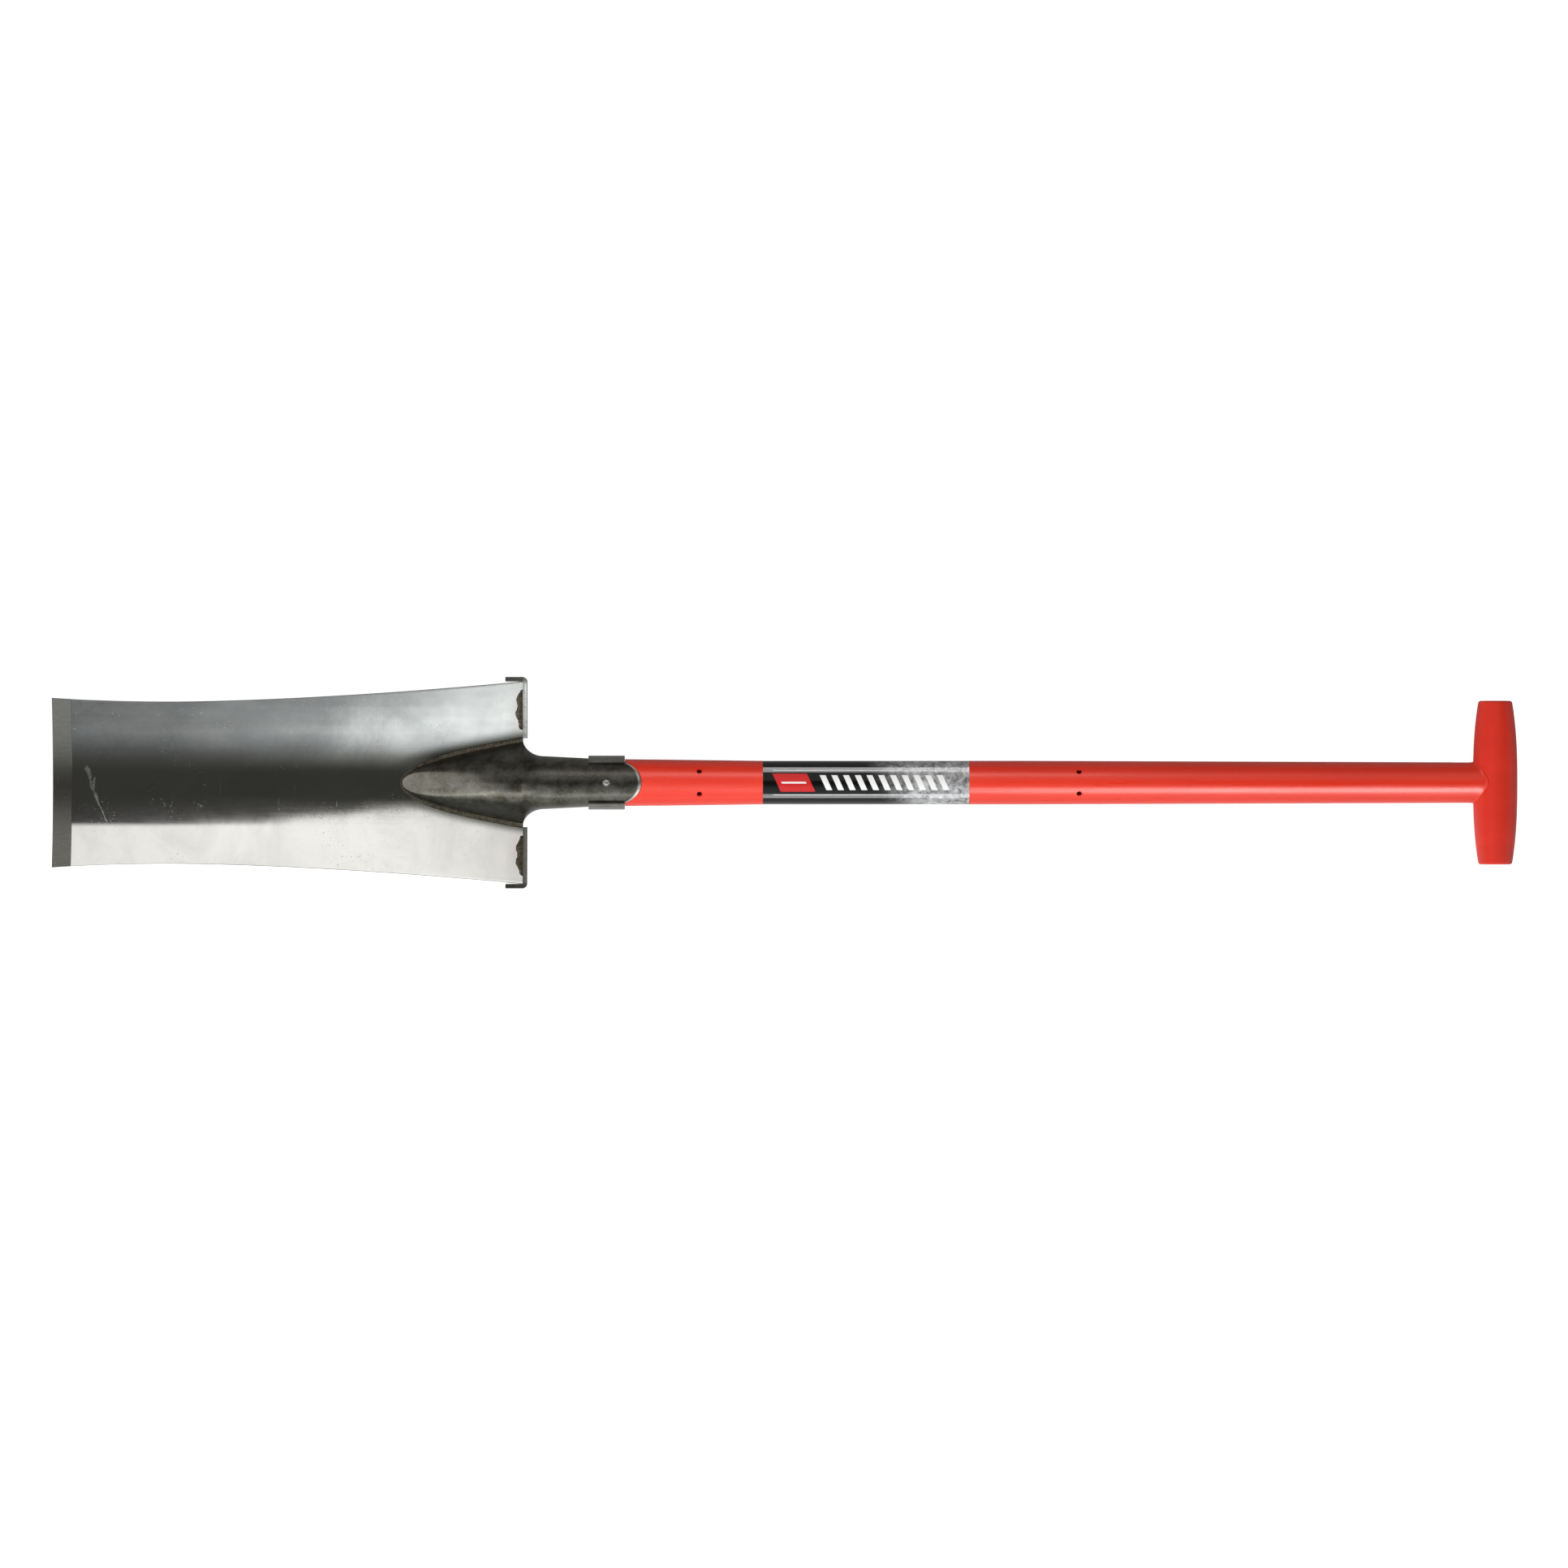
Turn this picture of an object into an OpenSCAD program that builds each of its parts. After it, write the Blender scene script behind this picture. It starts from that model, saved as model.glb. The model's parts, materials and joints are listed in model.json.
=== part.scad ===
// Trenching spade with a narrow dished blade, a welded socket and a moulded cross-grip handle.
// The spade lies on its back: +X runs from the blade to the grip and +Z is the way the blade faces.

/* [Blade] */
// Length of the blade from the cutting edge to the shoulders
blade_length = 383; // [340:1:430]
// Width of the blade at the cutting edge
edge_width = 138; // [120:1:150]
// Width of the blade where it is narrowest
waist_width = 132; // [115:1:138]
// Distance of the narrowest place from the cutting edge
waist_distance = 98; // [60:1:160]
// Width of the blade at the shoulders
shoulder_width = 164.6; // [150:0.2:180]
// Thickness of the blade
blade_thickness = 2.4; // [1.8:0.1:3.5]
// Radius of the dished front face
dish_radius = 185; // [150:1:300]
// Length of the ground bevel on the front face
bevel_length = 15.5; // [8:0.5:25]
// Thickness left at the cutting edge
edge_thickness = 0.7; // [0.4:0.1:1.5]

/* [Treads] */
// Thickness of the tread strip
tread_thickness = 3.5; // [2.5:0.1:5]
// Distance from the middle of the spade to a tread's inner end
tread_inner = 36.2; // [36:0.1:45]
// Length of the tread's outer end, bent along the side of the blade
tread_tab = 17.5; // [10:0.5:25]
// Height of the tread in front of the blade's face
tread_stand = 6; // [5:0.1:9]

/* [Socket] */
// Height of the handle's axis over the back of the blade
axis_height = 25; // [25:0.1:28]
// Length of the leaf on the blade's face
leaf_length = 98.5; // [80:0.5:120]
// Width of the leaf at the shoulders
leaf_width = 66.6; // [60:0.1:67]
// Half width of the leaf's flat crest
crest_half = 14; // [8:0.5:16]
// Height of the leaf's edge over the blade's face
leaf_lip = 1.6; // [1:0.1:2.2]
// Thickness of the leaf's wall over its hollow
leaf_wall = 3; // [2:0.1:4]
// Length of the flare from the leaf to the tube
flare_length = 18.5; // [14:0.5:26]
// Outer radius of the tube at the flare
tube_radius = 21.3; // [20.8:0.1:22]
// Outer radius of the tube at its mouth
mouth_radius = 19.75; // [19.6:0.05:20.4]
// Radius of the bore
bore_radius = 17.2; // [16.5:0.1:17.5]
// Length of the tube from the shoulders to its mouth
tube_length = 83; // [70:1:110]
// Length of the tongue past the mouth
tongue_length = 13.5; // [9:0.5:15]
// Width of the tongue at the mouth
tongue_width = 33; // [30:0.5:34]

/* [Collar and rivet] */
// Length of the collar
collar_length = 29.5; // [22:0.5:36]
// Thickness of the collar
collar_thickness = 2.1; // [1.5:0.1:2.5]
// Half of the angle that the collar leaves open at the front
collar_gap = 52; // [48:1:70]
// Radius of the rivet's shank
rivet_radius = 2.4; // [1.5:0.1:3]
// Radius of the rivet's heads
rivet_head = 3.6; // [3.2:0.1:5]

/* [Handle] */
// Distance from the shoulders to the grip's axis
handle_reach = 790.4; // [700:1:950]
// Radius of the sleeve at the socket
sleeve_start = 19.1; // [18.6:0.05:19.4]
// Radius of the sleeve at the first moulding pin holes
sleeve_at_pins = 18.35; // [17.8:0.05:18.6]
// Radius of the sleeve in its straight middle
sleeve_middle = 17.7; // [17:0.1:17.8]
// Radius of the sleeve at the grip
sleeve_end = 16.45; // [15.5:0.05:16.8]
// Radius of the core
core_radius = 11; // [9:0.1:11.2]
// Distance from the socket's mouth to the first moulding pin holes
first_pins = 60.5; // [40:0.5:80]
// Distance from the socket's mouth to the straight middle of the sleeve
straight_start = 110; // [90:1:140]
// Length of the straight middle past the label
clip_room = 38; // [30:1:60]
// Distance from the straight middle to the second moulding pin holes
second_pins = 51; // [40:0.5:80]
// Radius of the moulding pin holes
pin_hole = 2; // [1:0.1:2.5]
// Angle of the moulding pin holes from the front
pin_angle = 31; // [20:1:45]
// Length of the label
label_length = 167.5; // [120:0.5:170]
// Thickness of the label, which lies flush in the sleeve
label_thickness = 0.3; // [0.2:0.05:0.5]

/* [Grip] */
// Length of the grip
grip_length = 133; // [115:1:150]
// Radius of the grip at its middle
grip_radius = 18; // [17.5:0.1:21]
// Radius of the grip where its end rounding starts
grip_shoulder = 14; // [13:0.1:15]
// Radius of the grip's flat ends
grip_end = 11.7; // [10:0.1:12]
// Radius of the bar inside the grip
bar_radius = 6; // [4:0.1:7]
// Thickness of the grip past the ends of the bar
bar_cover = 14; // [8:0.5:20]

/* [Hidden] */
$fn = 96;
// Air between pieces that slide together
fit = 0.1;
// Air under a bead whose flat facets lie on a curved face
sliver = 0.06;
// Length by which a cutter reaches past what it cuts
past = 1;

// Places along the handle, with the cutting edge and the grip's far side equally far from 0
edge_x = -(blade_length + handle_reach + grip_radius) / 2;
shoulder_x = edge_x + blade_length;
tip_x = shoulder_x - leaf_length;
flare_x = shoulder_x + flare_length;
mouth_x = shoulder_x + tube_length;
grip_x = shoulder_x + handle_reach;
collar_x = mouth_x - collar_length;
rivet_x = mouth_x - collar_length / 2;
tread_back_x = shoulder_x + tread_thickness;

// Lower end of the bore under the leaf, and where its taper begins
bore_under_leaf = 14;
bore_end_x = shoulder_x - bore_under_leaf;
bore_taper_x = flare_x;
bore_end_radius = core_radius + 1.5;
// Air at the lower end of the handle
end_gap = 0.5;

// Straight middle of the sleeve, its two rows of moulding pin holes and the label on it
label_inset = 2;
first_pins_x = mouth_x + first_pins;
straight_start_x = mouth_x + straight_start;
label_x = straight_start_x + label_inset;
label_seat = sleeve_middle - label_thickness - fit;
straight_end_x = label_x + label_length + clip_room;
second_pins_x = straight_end_x + second_pins;

// Place inside the grip where the core ends
core_end_x = grip_x + 10;

// Radius of the back of the dish, whose axis is over the spade
back_radius = dish_radius + blade_thickness;
half_shoulder = shoulder_width / 2;
collar_radius = mouth_radius + fit + collar_thickness;

// Turn that lays both the treads and the grip on the floor, and the height this takes off
rest_span = grip_x - tread_back_x;
rest_turn = acos(grip_radius / norm([axis_height, rest_span])) - atan2(rest_span, axis_height);
rest_drop = -tread_back_x * sin(rest_turn);
// Move along X that puts the middle of the turned spade over 0
rest_shift = -(axis_height * sin(rest_turn) + (grip_x + edge_x) * cos(rest_turn) + grip_radius) / 2;

// Height of the blade's front and back faces at a distance from the middle
function front_z(y) = back_radius - sqrt(dish_radius * dish_radius - y * y);
function back_z(y) = back_radius - sqrt(back_radius * back_radius - y * y);

// Half width of the blade at a distance from the cutting edge: it swells both ways from the waist
edge_swell = (edge_width - waist_width) / 2;
shoulder_swell = (shoulder_width - waist_width) / 2;
edge_power = 2.1;
shoulder_power = 1.62;
function blade_half(s) = waist_width / 2 + (s < waist_distance
    ? edge_swell * pow(1 - s / waist_distance, edge_power)
    : shoulder_swell * pow((s - waist_distance) / (blade_length - waist_distance), shoulder_power));

// Half width of the leaf at a distance from its tip, which makes it a parabola
function leaf_half(d) = leaf_width / 2 * sqrt(d / leaf_length);
// Height of the leaf's ridge: straight up from the tip, then bending towards level as it meets the tube
leaf_foot = blade_thickness + leaf_lip;
leaf_rise = axis_height + tube_radius - leaf_foot;
ridge_bend = 0.62;
ridge_level = 1.05;
function ridge_form(t) = t - pow(max(t - ridge_bend, 0), 2) / (2 * (ridge_level - ridge_bend));
function leaf_ridge(d) = leaf_foot + leaf_rise * ridge_form(d / leaf_length) / ridge_form(1);
// Half width of the leaf's flat crest, which narrows with the leaf near its tip
crest_power = 3;
function leaf_crest(half) = 0.9 * half / pow(1 + pow(half / crest_half, crest_power), 1 / crest_power);
// Share of the ridge's height left off the middle line: all of it on the crest, less down the flanks
flank_power = 1.25;
function leaf_arch(y, half) =
    let (crest = leaf_crest(half))
    1 - pow(max(abs(y) - crest, 0) / (half - crest), flank_power);

// Point of a leaf section: over the blade's face on the upper half of the turn, on it below
function leaf_point(d, a) =
    let (half = leaf_half(d), y = half * cos(a))
    let (rise = sin(a) > 0.01 ? leaf_lip + (leaf_ridge(d) - leaf_foot) * leaf_arch(y, half) : 0)
    [tip_x + d, y, front_z(y) + rise];
// Point of the hollow under the leaf, a wall's thickness inside it and open to the blade
function hollow_point(d, a) =
    let (half = leaf_half(d) - leaf_wall, y = half * cos(a))
    let (rise = sin(a) > 0.01 ? (leaf_ridge(d) - leaf_foot - leaf_wall) * leaf_arch(y, half) : -past)
    [tip_x + d, y, front_z(y) + rise];
// Point of a round section of the tube
function tube_point(x, r, a) = [x, r * cos(a), axis_height + r * sin(a)];
// Point of the flare, a share of the way from the leaf's last section to just outside the tube
flare_over = 0.2;
flare_start_power = 0.75;
flare_end_power = 2.1;
function flare_point(t, a) =
    let (from = leaf_point(leaf_length, a), to = tube_point(flare_x, tube_radius + flare_over, a))
    let (share = 1 - pow(1 - pow(t, flare_start_power), flare_end_power))
    [shoulder_x + t * flare_length, from.y + (to.y - from.y) * share, from.z + (to.z - from.z) * share];

// Closed skin over rings of points, each ring having the same number of points
module skin(rings) {
    count = len(rings[0]);
    last = len(rings) - 1;
    sides = [for (i = [0:last - 1], j = [0:count - 1])
        let (k = (j + 1) % count, a = i * count, b = a + count)
        each [[a + j, b + j, b + k], [a + j, b + k, a + k]]];
    first_cap = [for (j = [0:count - 1]) j];
    last_cap = [for (j = [count - 1:-1:0]) last * count + j];
    polyhedron([for (ring = rings) each ring], concat(sides, [first_cap, last_cap]));
}

// Lays a piece down as the whole spade rests
module lay() {
    translate([rest_shift, 0, -rest_drop])
        rotate([0, rest_turn, 0])
            children();
}

// Solid turned about the handle's axis, from points of a place along it and a radius
module turned(points) {
    translate([0, 0, axis_height])
        rotate([90, 0, 90])
            rotate_extrude()
                polygon([for (p = points) [p[1], p[0]]]);
}

// Piece turned over to the other side of the spade
module other_side() {
    mirror([0, 1, 0])
        children();
}

module blade() {
    steps = 24;
    sides = [for (i = [0:steps]) let (s = blade_length * i / steps) [edge_x + s, blade_half(s)]];
    outline = concat(sides, [for (i = [steps:-1:0]) [sides[i].x, -sides[i].y]]);
    sweep = 2 * asin(half_shoulder / dish_radius) + 8;
    section = [
        [dish_radius, bevel_length], [dish_radius, blade_length], [back_radius, blade_length],
        [back_radius, 0], [back_radius - edge_thickness, 0]
    ];
    color("#c9c8c1")
        lay()
            intersection() {
                translate([edge_x, 0, back_radius])
                    rotate([0, 90, 0])
                        rotate([0, 0, -sweep / 2])
                            rotate_extrude(angle = sweep)
                                polygon(section);
                translate([0, 0, -past])
                    linear_extrude(back_radius)
                        polygon(outline);
            }
}

// Strip bent round the corner of a shoulder, its front edge following the dish
module tread() {
    outer = half_shoulder + fit;
    round_by = tread_thickness;
    intersection() {
        linear_extrude(back_radius)
            union() {
                translate([shoulder_x, tread_inner])
                    square([tread_thickness, outer - tread_inner]);
                translate([tread_back_x - tread_tab, outer])
                    square([tread_tab - round_by, tread_thickness]);
                intersection() {
                    translate([tread_back_x - round_by, outer])
                        circle(round_by);
                    translate([tread_back_x - round_by, outer])
                        square(round_by);
                }
            }
        translate([shoulder_x - tread_tab - past, 0, 0])
            rotate([90, 0, 90])
                linear_extrude(tread_tab + tread_thickness + 2 * past)
                    difference() {
                        square([outer + tread_thickness, front_z(half_shoulder) + tread_stand]);
                        translate([0, back_radius])
                            circle(dish_radius - tread_stand);
                    }
    }
}

module left_tread() {
    color("#5c5b52")
        lay()
            tread();
}

module right_tread() {
    color("#5c5b52")
        lay()
            other_side()
                tread();
}

// Bead in the corner between a tread and a face of the blade, lumpy along its length
module tread_bead(from_y, to_y, side) {
    steps = 16;
    bead_reach = 5.4;
    bead_rise = tread_stand - 1.4;
    bulge = 0.62;
    rings = [for (i = [0:steps])
        let (t = i / steps, y = from_y + (to_y - from_y) * t)
        let (swell = 0.25 + 0.75 * sqrt(sin(180 * t)), lump = 1 + 0.16 * sin(900 * t + 40))
        let (reach = bead_reach * swell * lump, rise = side * bead_rise * swell)
        let (z = side > 0 ? front_z(y) : back_z(y) - sliver)
        [
            [shoulder_x, y, z],
            [shoulder_x - reach, y, z],
            [shoulder_x - reach * bulge, y, z + rise * bulge],
            [shoulder_x, y, z + rise]
        ]];
    skin(side > 0 ? rings : [for (i = [steps:-1:0]) rings[i]]);
}

module tread_beads() {
    length = half_shoulder - tread_inner;
    tread_bead(tread_inner + 0.15 * length, half_shoulder - 0.16 * length, 1);
    tread_bead(tread_inner + 0.35 * length, half_shoulder - 0.08 * length, -1);
}

module left_tread_weld() {
    color("#6b6450")
        lay()
            tread_beads();
}

module right_tread_weld() {
    color("#6b6450")
        lay()
            other_side()
                tread_beads();
}

// Outer form of the leaf and the flare, ending inside the tube's wall
module leaf_and_flare() {
    points = 48;
    leaf_steps = 16;
    flare_steps = 8;
    angles = [for (j = [0:points - 1]) 360 * j / points];
    leaf = [for (i = [1:leaf_steps])
        let (d = leaf_length * pow(i / leaf_steps, 2))
        [for (a = angles) leaf_point(d, a)]];
    flare = [for (i = [1:flare_steps]) [for (a = angles) flare_point(i / flare_steps, a)]];
    inside = [[for (a = angles) tube_point(flare_x + 4, tube_radius - 4 * flare_over, a)]];
    skin(concat(leaf, flare, inside));
}

// Hollow under the leaf, which the blade closes
module leaf_hollow() {
    points = 32;
    steps = 8;
    from_tip = 0.15 * leaf_length;
    to_tip = leaf_length - leaf_wall;
    skin([for (i = [0:steps])
        let (d = from_tip + (to_tip - from_tip) * i / steps)
        [for (j = [0:points - 1]) hollow_point(d, 360 * j / points)]]);
}

// Outline of the tongue from the front, a round end on the mouth's width
module tongue_outline(grow) {
    half = tongue_width / 2;
    bend = (half * half + tongue_length * tongue_length) / (2 * tongue_length);
    intersection() {
        translate([mouth_x + tongue_length - bend, 0])
            circle(bend + grow);
        translate([collar_x, -half - grow])
            square([collar_length + tongue_length + 2 * past, tongue_width + 2 * grow]);
    }
}

// Front half of a ring about the handle's axis, cut to the tongue's outline
module tongue(outer, grow) {
    intersection() {
        turned([
            [mouth_x - past, 0], [mouth_x - past, outer],
            [mouth_x + tongue_length + 2 * past, outer], [mouth_x + tongue_length + 2 * past, 0]
        ]);
        translate([0, 0, axis_height])
            linear_extrude(2 * outer)
                tongue_outline(grow);
    }
}

module rivet_hole() {
    translate([rivet_x, 0, 0])
        cylinder(axis_height * 2 + past, rivet_radius + fit, rivet_radius + fit);
}

module socket() {
    color("#3f3d38")
        lay()
            difference() {
                union() {
                    leaf_and_flare();
                    turned([
                        [flare_x, 0], [flare_x, tube_radius], [collar_x - 2 * past, mouth_radius],
                        [mouth_x, mouth_radius], [mouth_x, 0]
                    ]);
                    tongue(mouth_radius, 0);
                }
                turned([
                    [bore_end_x, 0], [bore_end_x, bore_end_radius], [bore_taper_x, bore_radius],
                    [mouth_x + tongue_length + past, bore_radius], [mouth_x + tongue_length + past, 0]
                ]);
                leaf_hollow();
                rivet_hole();
            }
}

// Bead along the leaf's edge, from one shoulder round the tip to the other
module leaf_weld() {
    steps = 18;
    width = 3.4;
    rings = [for (i = [-steps:steps])
        let (share = i / steps, d = leaf_length * share * share, y = leaf_width / 2 * share)
        let (along = [2 * leaf_length * share, leaf_width / 2])
        let (out = [-along.y, along.x] / norm(along), x = tip_x + d)
        let (far = [x + out.x * width, y + out.y * width], mid = [x, y] + out * width * 0.6)
        [
            [x, y, front_z(y) + sliver],
            [x, y, front_z(y) + leaf_lip],
            [mid.x, mid.y, front_z(mid.y) + leaf_lip * 0.8],
            [far.x, far.y, front_z(far.y) + sliver]
        ]];
    color("#77746a")
        lay()
            intersection() {
                skin(rings);
                translate([tip_x - 2 * width, -half_shoulder, 0])
                    cube([leaf_length + 2 * width, shoulder_width, axis_height]);
            }
}

module collar() {
    wrap = 360 - 2 * collar_gap;
    color("#57544a")
        lay()
            difference() {
                translate([collar_x, 0, axis_height])
                    rotate([0, 90, 0])
                        rotate([0, 0, -wrap / 2])
                            rotate_extrude(angle = wrap)
                                translate([mouth_radius + fit, 0])
                                    square([collar_thickness, collar_length]);
                rivet_hole();
            }
}

module rivet() {
    front = axis_height + mouth_radius;
    back = axis_height - collar_radius;
    dome = 2;
    low_dome = 1.2;
    front_bend = (rivet_head * rivet_head + dome * dome) / (2 * dome);
    back_bend = (rivet_head * rivet_head + low_dome * low_dome) / (2 * low_dome);
    color("#cfcdc4")
        lay()
            translate([rivet_x, 0, 0])
                union() {
                    translate([0, 0, back - past / 2])
                        cylinder(front - back + past, rivet_radius, rivet_radius);
                    intersection() {
                        translate([0, 0, front + dome - front_bend])
                            sphere(front_bend);
                        translate([0, 0, front])
                            cylinder(dome + past, rivet_head, rivet_head);
                    }
                    intersection() {
                        translate([0, 0, back - low_dome + back_bend])
                            sphere(back_bend);
                        translate([0, 0, back - low_dome - past])
                            cylinder(low_dome + past, rivet_head, rivet_head);
                    }
                }
}

// Room for the core, a little wider than it is
module core_room(end_x) {
    turned([
        [bore_end_x - past, 0], [bore_end_x - past, core_radius + fit],
        [end_x, core_radius + fit], [end_x, 0]
    ]);
}

// Room for the bar across the grip
module bar_room() {
    half = grip_length / 2 - bar_cover + end_gap;
    translate([grip_x, half, axis_height])
        rotate([90, 0, 0])
            cylinder(2 * half, bar_radius + fit, bar_radius + fit);
}

module shaft_core() {
    color("#d8cfa6")
        lay()
            difference() {
                turned([
                    [bore_end_x + end_gap, 0], [bore_end_x + end_gap, core_radius],
                    [core_end_x, core_radius], [core_end_x, 0]
                ]);
                rivet_hole();
                bar_room();
            }
}

// Outside of the grip, a barrel whose sides swell to the middle
module barrel() {
    steps = 16;
    half = grip_length / 2;
    edge_round = grip_shoulder - grip_end;
    straight = half - edge_round;
    sides = [for (i = [0:steps])
        let (y = straight * i / steps)
        [grip_radius - (grip_radius - grip_shoulder) * pow(i / steps, 2.6), y]];
    half_profile = concat(sides, [for (a = [22.5:22.5:90])
        [grip_end + edge_round * cos(a), straight + edge_round * sin(a)]]);
    turn_back = [for (i = [len(half_profile) - 1:-1:1]) [half_profile[i].x, -half_profile[i].y]];
    translate([grip_x, 0, axis_height])
        rotate([90, 0, 0])
            rotate_extrude()
                polygon(concat([[0, -half]], turn_back, half_profile, [[0, half]]));
}

module pin_holes() {
    for (x = [first_pins_x, second_pins_x], side = [-1, 1], over = [0, 180])
        translate([x, 0, axis_height])
            rotate([side * pin_angle + over, 0, 0])
                cylinder(2 * sleeve_start, pin_hole, pin_hole);
}

module shaft_sleeve() {
    spigot = bore_radius - fit;
    color("#d8392b")
        lay()
            difference() {
                turned([
                    [bore_end_x + end_gap, 0], [bore_end_x + end_gap, bore_end_radius - fit],
                    [bore_taper_x, spigot], [mouth_x + 3 * fit, spigot], [mouth_x + 3 * fit, sleeve_start],
                    [first_pins_x, sleeve_at_pins], [straight_start_x, sleeve_middle],
                    [label_x, sleeve_middle], [label_x, label_seat],
                    [label_x + label_length, label_seat],
                    [label_x + label_length, sleeve_middle], [straight_end_x, sleeve_middle],
                    [grip_x - grip_radius, sleeve_end], [grip_x, sleeve_end], [grip_x, 0]
                ]);
                difference() {
                    tongue(mouth_radius + past, 3 * fit);
                    turned([
                        [mouth_x - 2 * past, 0], [mouth_x - 2 * past, spigot],
                        [mouth_x + 2 * tongue_length, spigot], [mouth_x + 2 * tongue_length, 0]
                    ]);
                }
                core_room(grip_x + past);
                pin_holes();
                rivet_hole();
                barrel();
            }
}

module label() {
    wrap = 346;
    color("#2b2b2c")
        lay()
            translate([label_x + fit, 0, axis_height])
                rotate([0, 90, 0])
                    rotate([0, 0, 180 - wrap / 2])
                        rotate_extrude(angle = wrap)
                            translate([sleeve_middle - label_thickness, 0])
                                square([label_thickness, label_length - 2 * fit]);
}

module grip() {
    color("#c9342a")
        lay()
            difference() {
                barrel();
                core_room(core_end_x + end_gap);
                bar_room();
            }
}

module grip_bar() {
    half = grip_length / 2 - bar_cover;
    color("#8f8f8c")
        lay()
            translate([grip_x, half, axis_height])
                rotate([90, 0, 0])
                    cylinder(2 * half, bar_radius, bar_radius);
}

blade();
left_tread();
right_tread();
left_tread_weld();
right_tread_weld();
socket();
leaf_weld();
collar();
rivet();
shaft_core();
shaft_sleeve();
label();
grip();
grip_bar();
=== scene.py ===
import json
import math
from functools import partial, reduce

import bpy
import numpy as np
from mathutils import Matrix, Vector

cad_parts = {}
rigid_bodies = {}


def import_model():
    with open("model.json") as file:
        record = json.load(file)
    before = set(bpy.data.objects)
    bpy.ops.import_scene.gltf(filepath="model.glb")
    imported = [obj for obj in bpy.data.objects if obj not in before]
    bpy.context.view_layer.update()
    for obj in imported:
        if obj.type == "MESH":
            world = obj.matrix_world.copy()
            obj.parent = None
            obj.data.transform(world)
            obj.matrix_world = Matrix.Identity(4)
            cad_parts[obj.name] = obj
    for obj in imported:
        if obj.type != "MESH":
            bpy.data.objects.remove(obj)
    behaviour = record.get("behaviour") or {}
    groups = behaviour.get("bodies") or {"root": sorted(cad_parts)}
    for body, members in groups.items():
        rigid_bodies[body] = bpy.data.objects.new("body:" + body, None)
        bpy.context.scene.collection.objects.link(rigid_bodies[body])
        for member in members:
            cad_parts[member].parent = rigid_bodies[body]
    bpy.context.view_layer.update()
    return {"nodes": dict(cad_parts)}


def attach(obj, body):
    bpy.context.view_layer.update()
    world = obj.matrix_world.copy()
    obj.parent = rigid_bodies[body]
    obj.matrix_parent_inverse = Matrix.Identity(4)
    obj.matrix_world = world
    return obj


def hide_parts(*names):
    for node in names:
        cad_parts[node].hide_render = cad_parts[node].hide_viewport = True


join = np.concatenate
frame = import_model()
scene = bpy.context.scene
print("frame:", len(frame["nodes"]), "nodes")

# Lengths that several pieces share, in millimetres; X runs along the shaft, Z up from the blade's back
spade = dict(
    bladeLength=383.0,
    bladeThickness=2.4,
    dishRadius=185.0,
    shoulderWidth=164.6,
    axisHeight=25.0,
    leafLength=98.5,
    leafWidth=66.6,
    leafLip=1.6,
    flareLength=18.5,
    tubeLength=83.0,
    mouthRadius=19.75,
    boreRadius=17.2,
    boreEndRadius=12.5,
    boreUnderLeaf=14.0,
    collarLength=29.5,
    collarThickness=2.1,
    fit=0.1,
    reach=790.4,  # shoulders to the grip's axis
    gripRadius=18.0,
    labelStart=112.0,
    labelLength=167.5,
    treadThickness=3.5,
    shaftRadius=17.7,
)

# Places along the shaft, whose two ends are equally far from 0
edgeX = -(spade["bladeLength"] + spade["reach"] + spade["gripRadius"]) / 2
shoulderX = edgeX + spade["bladeLength"]
tipX = shoulderX - spade["leafLength"]
flareX = shoulderX + spade["flareLength"]
mouthX = shoulderX + spade["tubeLength"]
collarX = mouthX - spade["collarLength"]
gripX = shoulderX + spade["reach"]
labelX = mouthX + spade["labelStart"]
labelEndX = labelX + spade["labelLength"]
boreEndX = shoulderX - spade["boreUnderLeaf"]
axisZ = spade["axisHeight"]
backRadius = spade["dishRadius"] + spade["bladeThickness"]
halfShoulder = spade["shoulderWidth"] / 2

# The turn, drop and shift that lay the treads and the grip on the floor
restSpan = gripX - shoulderX - spade["treadThickness"]
restTurn = math.acos(spade["gripRadius"] / math.hypot(axisZ, restSpan)) - math.atan2(restSpan, axisZ)
restDrop = -(shoulderX + spade["treadThickness"]) * math.sin(restTurn)
restShift = -(axisZ * math.sin(restTurn) + (gripX + edgeX) * math.cos(restTurn) + spade["gripRadius"]) / 2


def layDown(points):
    # turns points about Y, moves them to the floor and gives metres
    x, y, z = np.moveaxis(points, -1, 0)
    laidX = x * math.cos(restTurn) + z * math.sin(restTurn) + restShift
    laidZ = z * math.cos(restTurn) - x * math.sin(restTurn) - restDrop
    return np.stack([laidX, y, laidZ], -1) / 1000


def ease(low, high, value):
    # smooth step from 0 at low to 1 at high
    t = np.clip((value - low) / (high - low), 0, 1)
    return t * t * (3 - 2 * t)


def surface(x, y, z):
    # one array of points from three arrays that fit together
    return np.stack(np.broadcast_arrays(x, y, z), -1).astype(float)


def gridFaces(rows, columns):
    # quads between neighbouring closed rings, and two caps that pair opposite columns
    row, column = np.meshgrid(np.arange(rows - 1), np.arange(columns), indexing="ij")
    following = (column + 1) % columns
    here, above = row * columns, (row + 1) * columns
    sides = np.stack([here + column, above + column, above + following, here + following], -1)
    pair = np.arange(columns // 2 - 1)
    cap = np.stack([pair, pair + 1, columns - 2 - pair, columns - 1 - pair], -1)
    return join([sides.reshape(-1, 4), cap, cap[:, ::-1] + (rows - 1) * columns])


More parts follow.
